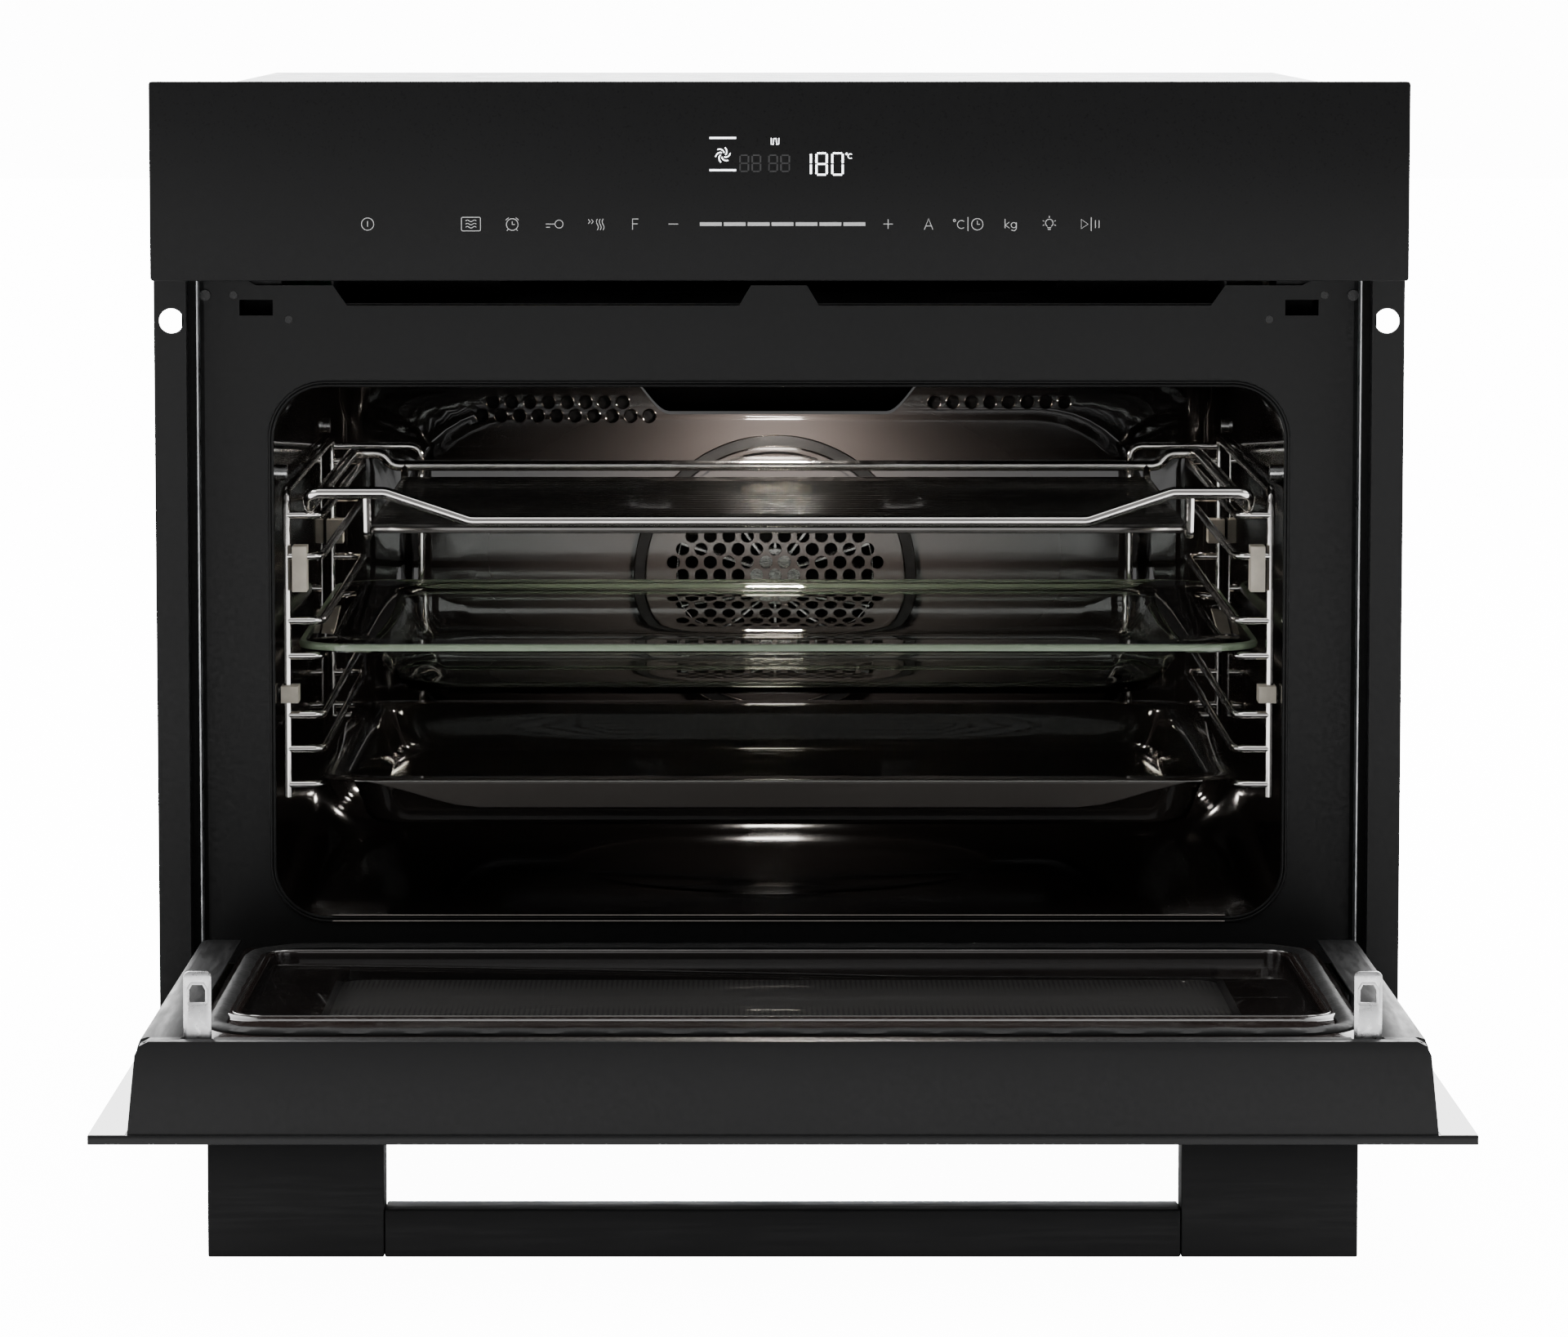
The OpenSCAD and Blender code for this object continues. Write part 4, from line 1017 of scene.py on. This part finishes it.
# Ceiling plate with soft ends
plate_low, plate_high = part_box("ceiling_plate")
half, top, drop = plate_high.x, plate_high.z, plate_high.z - plate_low.z
section = []
for i in range(13):
    t = i / 12
    s = t * t * (3 - 2 * t)
    section.append((-half + 24 * t, top - drop * s))
section = section + [(-x, z) for x, z in reversed(section)]
inner = [(x, z + 1.5) for x, z in reversed(section)]
ceiling = [extruded("ceiling_plate", section + inner, plate_low.y, plate_high.y, smooth=45)]
for y, lean in ((plate_low.y, drop), (plate_high.y, -drop)):
    wall = extruded("ceiling_end", section, y, y + 0.8 * math.copysign(1, lean), smooth=45)
    for v in wall.data.vertices:
        v.co.y += (top - v.co.z / MM) / drop * lean * 0.9 * MM
    ceiling.append(wall)
as_piece(joined("ceiling_cover", ceiling), "oven", "black_enamel", ["ceiling_plate"])

# ---------------------------------------------------------------- ladders

RUNGS = [112, 129.5, 146.2, 175, 192.3, 223.8, 243.9]
LADDER_X, RUNG_X, REAR_FRAME_X = 239, 222, 191
LADDER_Y0, LADDER_Y1 = 26, 362
LADDER_Z0, LADDER_Z1 = 106, 256
paths = [
    [(LADDER_X, LADDER_Y0, z), (RUNG_X, LADDER_Y0, z), (RUNG_X, LADDER_Y1, z), (LADDER_X, LADDER_Y1, z)]
    for z in RUNGS
]
paths.append([(LADDER_X, LADDER_Y0, LADDER_Z0), (LADDER_X, LADDER_Y0, LADDER_Z1),
              (LADDER_X, LADDER_Y1, LADDER_Z1), (LADDER_X, LADDER_Y1, LADDER_Z0)])
paths.append([(LADDER_X, LADDER_Y1, LADDER_Z1 - 4), (REAR_FRAME_X, LADDER_Y1, LADDER_Z1 - 4),
              (REAR_FRAME_X, LADDER_Y1, LADDER_Z0), (LADDER_X, LADDER_Y1, LADDER_Z0)])
lines = [(filleted(path, 7), False) for path in paths]
for side, name in ((1, "ladder_right"), (-1, "ladder_left")):
    own = [([(side * p[0], p[1], p[2]) for p in pts], closed) for pts, closed in lines]
    as_piece(tubes(name + "_wires", own, 4.0, 12), "oven", "chrome_wire", [name])

# ---------------------------------------------------------------- wire shelf

# The frame dips in the middle of the front, and its sides run lower than its front corners
SHELF_X, SHELF_Y0, SHELF_Y1 = 227, 5.5, 350
FRONT_Z, FRONT_CORNER_Z, SIDE_Z, BACK_Z = 242.7, 256.4, 249.1, 242.4
right = [
    (0, SHELF_Y0, FRONT_Z), (149, SHELF_Y0, FRONT_Z), (190, SHELF_Y0, FRONT_CORNER_Z),
    (SHELF_X, SHELF_Y0, FRONT_CORNER_Z), (SHELF_X, 14, SIDE_Z), (SHELF_X, SHELF_Y1, SIDE_Z),
    (211, SHELF_Y1, SIDE_Z), (206, SHELF_Y1, BACK_Z), (0, SHELF_Y1, BACK_Z),
]
loop = right + [(-x, y, z) for x, y, z in reversed(right[1:-1])]
shelf_frame = tubes("shelf_frame", [(filleted(loop, 11, True, 8), True)], 6.0, 16)
ROD_X, ROD_Z = 199, 235
rods = []
for x in (-ROD_X, ROD_X):
    rods.append((filleted([(x, 7.5, 255), (x, 12, ROD_Z), (x, 345, ROD_Z), (x, 349, BACK_Z)], 5), False))
side_rods = tubes("shelf_side_rods", rods, 4.0, 12)
front_rod = tubes("shelf_front_rod", [([(-200.5, 26, 236.6), (200.5, 26, 236.6)], False)], 3.2, 12)
WIRE_HALF, WIRE_Z, WIRE_RUN, WIRE_COUNT = 200, 236, 316, 24
fine = []
for i in range(1, WIRE_COUNT + 1):
    y = 26 + i * WIRE_RUN / WIRE_COUNT
    fine.append(([(-WIRE_HALF, y, WIRE_Z), (WIRE_HALF, y, WIRE_Z)], False))
shelf_grid = tubes("shelf_grid", fine, 2.2, 8)
shelf = joined("wire_shelf_grid", [shelf_frame, side_rods, front_rod, shelf_grid])
as_piece(shelf, "wire_shelf", "chrome_wire", ["wire_shelf"])

# ---------------------------------------------------------------- glass dish and baking tray


def dish_rings(half_w, y0, y1, rim_z, depth, basin_w, margin, r, wall, slope):
    """Rings of a dish, from the middle of the basin up and over the rim and back below."""
    mid, half_l = (y0 + y1) / 2, (y1 - y0) / 2

    def ring(w, length, radius, z):
        return [(x, y, z) for x, y in round_rect(w, length, radius, (0, mid), 10)]

    basin_l = half_l - margin
    floor_z = rim_z + wall - depth
    up = []
    steps = 8
    for k in range(steps + 1):
        t = k / steps
        s = t * t * (3 - 2 * t)
        up.append((slope * (1 - t), floor_z + (rim_z + wall - floor_z) * s))
    rings = [ring(4, 4, 3.9, floor_z), ring(basin_w - slope - 12, basin_l - slope - 12, r - 4, floor_z)]
    rings += [ring(basin_w - inset, basin_l - inset, r, z) for inset, z in up]
    rings += [
        ring(half_w - 1, half_l - 1, r, rim_z + wall), ring(half_w, half_l, r, rim_z + wall - 0.4 * wall),
        ring(half_w - 0.6, half_l - 0.6, r, rim_z),
        ring(basin_w + wall * 0.3, basin_l + wall * 0.3, r, rim_z),
    ]
    rings += [ring(basin_w - inset, basin_l - inset, r, z - wall) for inset, z in reversed(up)]
    rings += [ring(4, 4, 3.9, floor_z - wall)]
    return rings


dish_low, dish_high = part_box("glass_dish")
dish = loft(
    "glass_dish_shell",
    dish_rings(dish_high.x, dish_low.y, dish_high.y, dish_high.z - 4, 24.9, 205, 20, 30, 4, 22),
    caps=(True, True), smooth=50,
)
as_piece(dish, "glass_dish", "dish_glass", ["glass_dish"])

# A bright green line inside the dish's rim: the green is the glass edge's own, its brightness is painted light
edge = [(x, y, dish_high.z - 2) for x, y in round_rect(
    dish_high.x - 1.9, (dish_high.y - dish_low.y) / 2 - 1.9, 28, (0, (dish_high.y + dish_low.y) / 2), 10)]
as_piece(tubes("dish_green_edge_painted_light", [(edge, True)], 3.2, 10), "glass_dish", "dish_edge_painted_glow")

tray_low, tray_high = part_box("baking_tray")
# The front face of the tray below its rim, in a lighter copy of the tray's enamel: painted light
lip = [(200, 114.6), (193, 113.0), (180, 109.6), (168, 106.0), (157, 103.2), (145, 101.9)]
lip_outline = lip + [(-x, z) for x, z in reversed(lip)]
tray_lip_painted_light = extruded("tray_front_lip", lip_outline, tray_low.y + 0.05, tray_low.y + 1.2)
tray = loft(
    "baking_tray_shell",
    dish_rings(tray_high.x, tray_low.y, tray_high.y, tray_high.z - 1.2, 24, 212, 14, 22, 1.2, 12),
    caps=(True, True), smooth=50,
)
as_piece(tray, "baking_tray", "tray_enamel", ["baking_tray"])
as_piece(bevelled(tray_lip_painted_light, 0.4, 2), "baking_tray", "tray_lip_painted_light")
# A steel line along the tray's front top edge, as a painted highlight on the rounded edge
tray_highlight_line = [(-206, tray_low.y + 0.7, tray_high.z - 0.7), (206, tray_low.y + 0.7, tray_high.z - 0.7)]
as_piece(tubes("tray_front_painted_highlight", [(tray_highlight_line, False)], 1.1, 10), "baking_tray", "painted_highlight_steel")

# ---------------------------------------------------------------- floor, light and camera


def stage_plane(name, size, z, colour, glow, seen_glow):
    """A plain floor. Only the camera sees its bright glow, so it looks white and lights little."""
    mesh = bpy.data.meshes.new(name)
    corners = [(-size, -size, z), (size, -size, z), (size, size, z), (-size, size, z)]
    mesh.from_pydata(corners, [], [(0, 1, 2, 3)])
    obj = add_object(name, mesh)
    mat, tree, shader = new_material(name)
    shader.inputs["Base Color"].default_value = colour + (1,)
    shader.inputs["Roughness"].default_value = 0.9
    shader.inputs["Specular IOR Level"].default_value = 0.1
    shader.inputs["Emission Color"].default_value = colour + (1,)
    path = add_node(tree, "ShaderNodeLightPath")
    strength = add_node(tree, "ShaderNodeMapRange")
    strength.inputs["To Min"].default_value = glow
    strength.inputs["To Max"].default_value = seen_glow
    tree.links.new(path.outputs["Is Camera Ray"], strength.inputs["Value"])
    tree.links.new(strength.outputs["Result"], shader.inputs["Emission Strength"])
    mesh.materials.append(mat)


floor_z = cad_box[0].z - 0.012
stage_plane("floor", 14, floor_z, (0.86, 0.86, 0.86), 0.3, 15.0)

world = bpy.data.worlds.new("studio")
bpy.context.scene.world = world
world.use_nodes = True
tree = world.node_tree
background = tree.nodes["Background"]
background.inputs["Color"].default_value = (1, 1, 1, 1)
# The studio is dark in front of the oven and bright behind it, and the camera sees it as plain white
coords = add_node(tree, "ShaderNodeTexCoord")
split = add_node(tree, "ShaderNodeSeparateXYZ")
tree.links.new(coords.outputs["Generated"], split.inputs["Vector"])
depth = remap(tree, split.outputs["Y"], 0.24, 6.5, -0.2, 0.75)
path = add_node(tree, "ShaderNodeLightPath")
mix = add_node(tree, "ShaderNodeMix", data_type="FLOAT")
tree.links.new(path.outputs["Is Camera Ray"], mix.inputs["Factor"])
tree.links.new(depth, mix.inputs["A"])
mix.inputs["B"].default_value = 14.0
tree.links.new(mix.outputs["Result"], background.inputs["Strength"])


def area_light(name, place, target, size, power, colour=(1, 1, 1)):
    data = bpy.data.lights.new(name, "AREA")
    data.energy = power
    data.color = colour
    data.size = size
    obj = add_object(name, data)
    obj.location = place
    obj.rotation_euler = (Vector(target) - Vector(place)).to_track_quat("-Z", "Y").to_euler()


area_light("key", (-2.2, -2.4, 2.6), (0, 0, 0.2), 1.6, 24)
area_light("fill", (2.4, -2.0, 1.6), (0, 0, 0.2), 1.6, 14)
area_light("top", (0, -0.6, 2.6), (0, -0.1, 0.2), 1.8, 22)
area_light("back", (0.8, 2.6, 1.8), (0, 0.3, 0.2), 1.6, 30)
area_light("oven_lamp", (0, 0.346, 0.3035), (0, 0.24, 0.0), 0.03, 3.0, (1.0, 0.93, 0.86))

# The camera looks a little down; most of the framing is the tilt, so that other views keep the oven in sight
CAMERA_DOWN = 5.50
camera_data = bpy.data.cameras.new("camera")
camera_data.lens = 144.3
camera_data.shift_x = 0.0234
camera_data.shift_y = -0.06
camera = add_object("camera", camera_data)
camera.location = (-0.0152, -3.015, 0.5077)
camera.rotation_euler = (math.radians(90 - CAMERA_DOWN), 0, 0)
bpy.context.scene.camera = camera
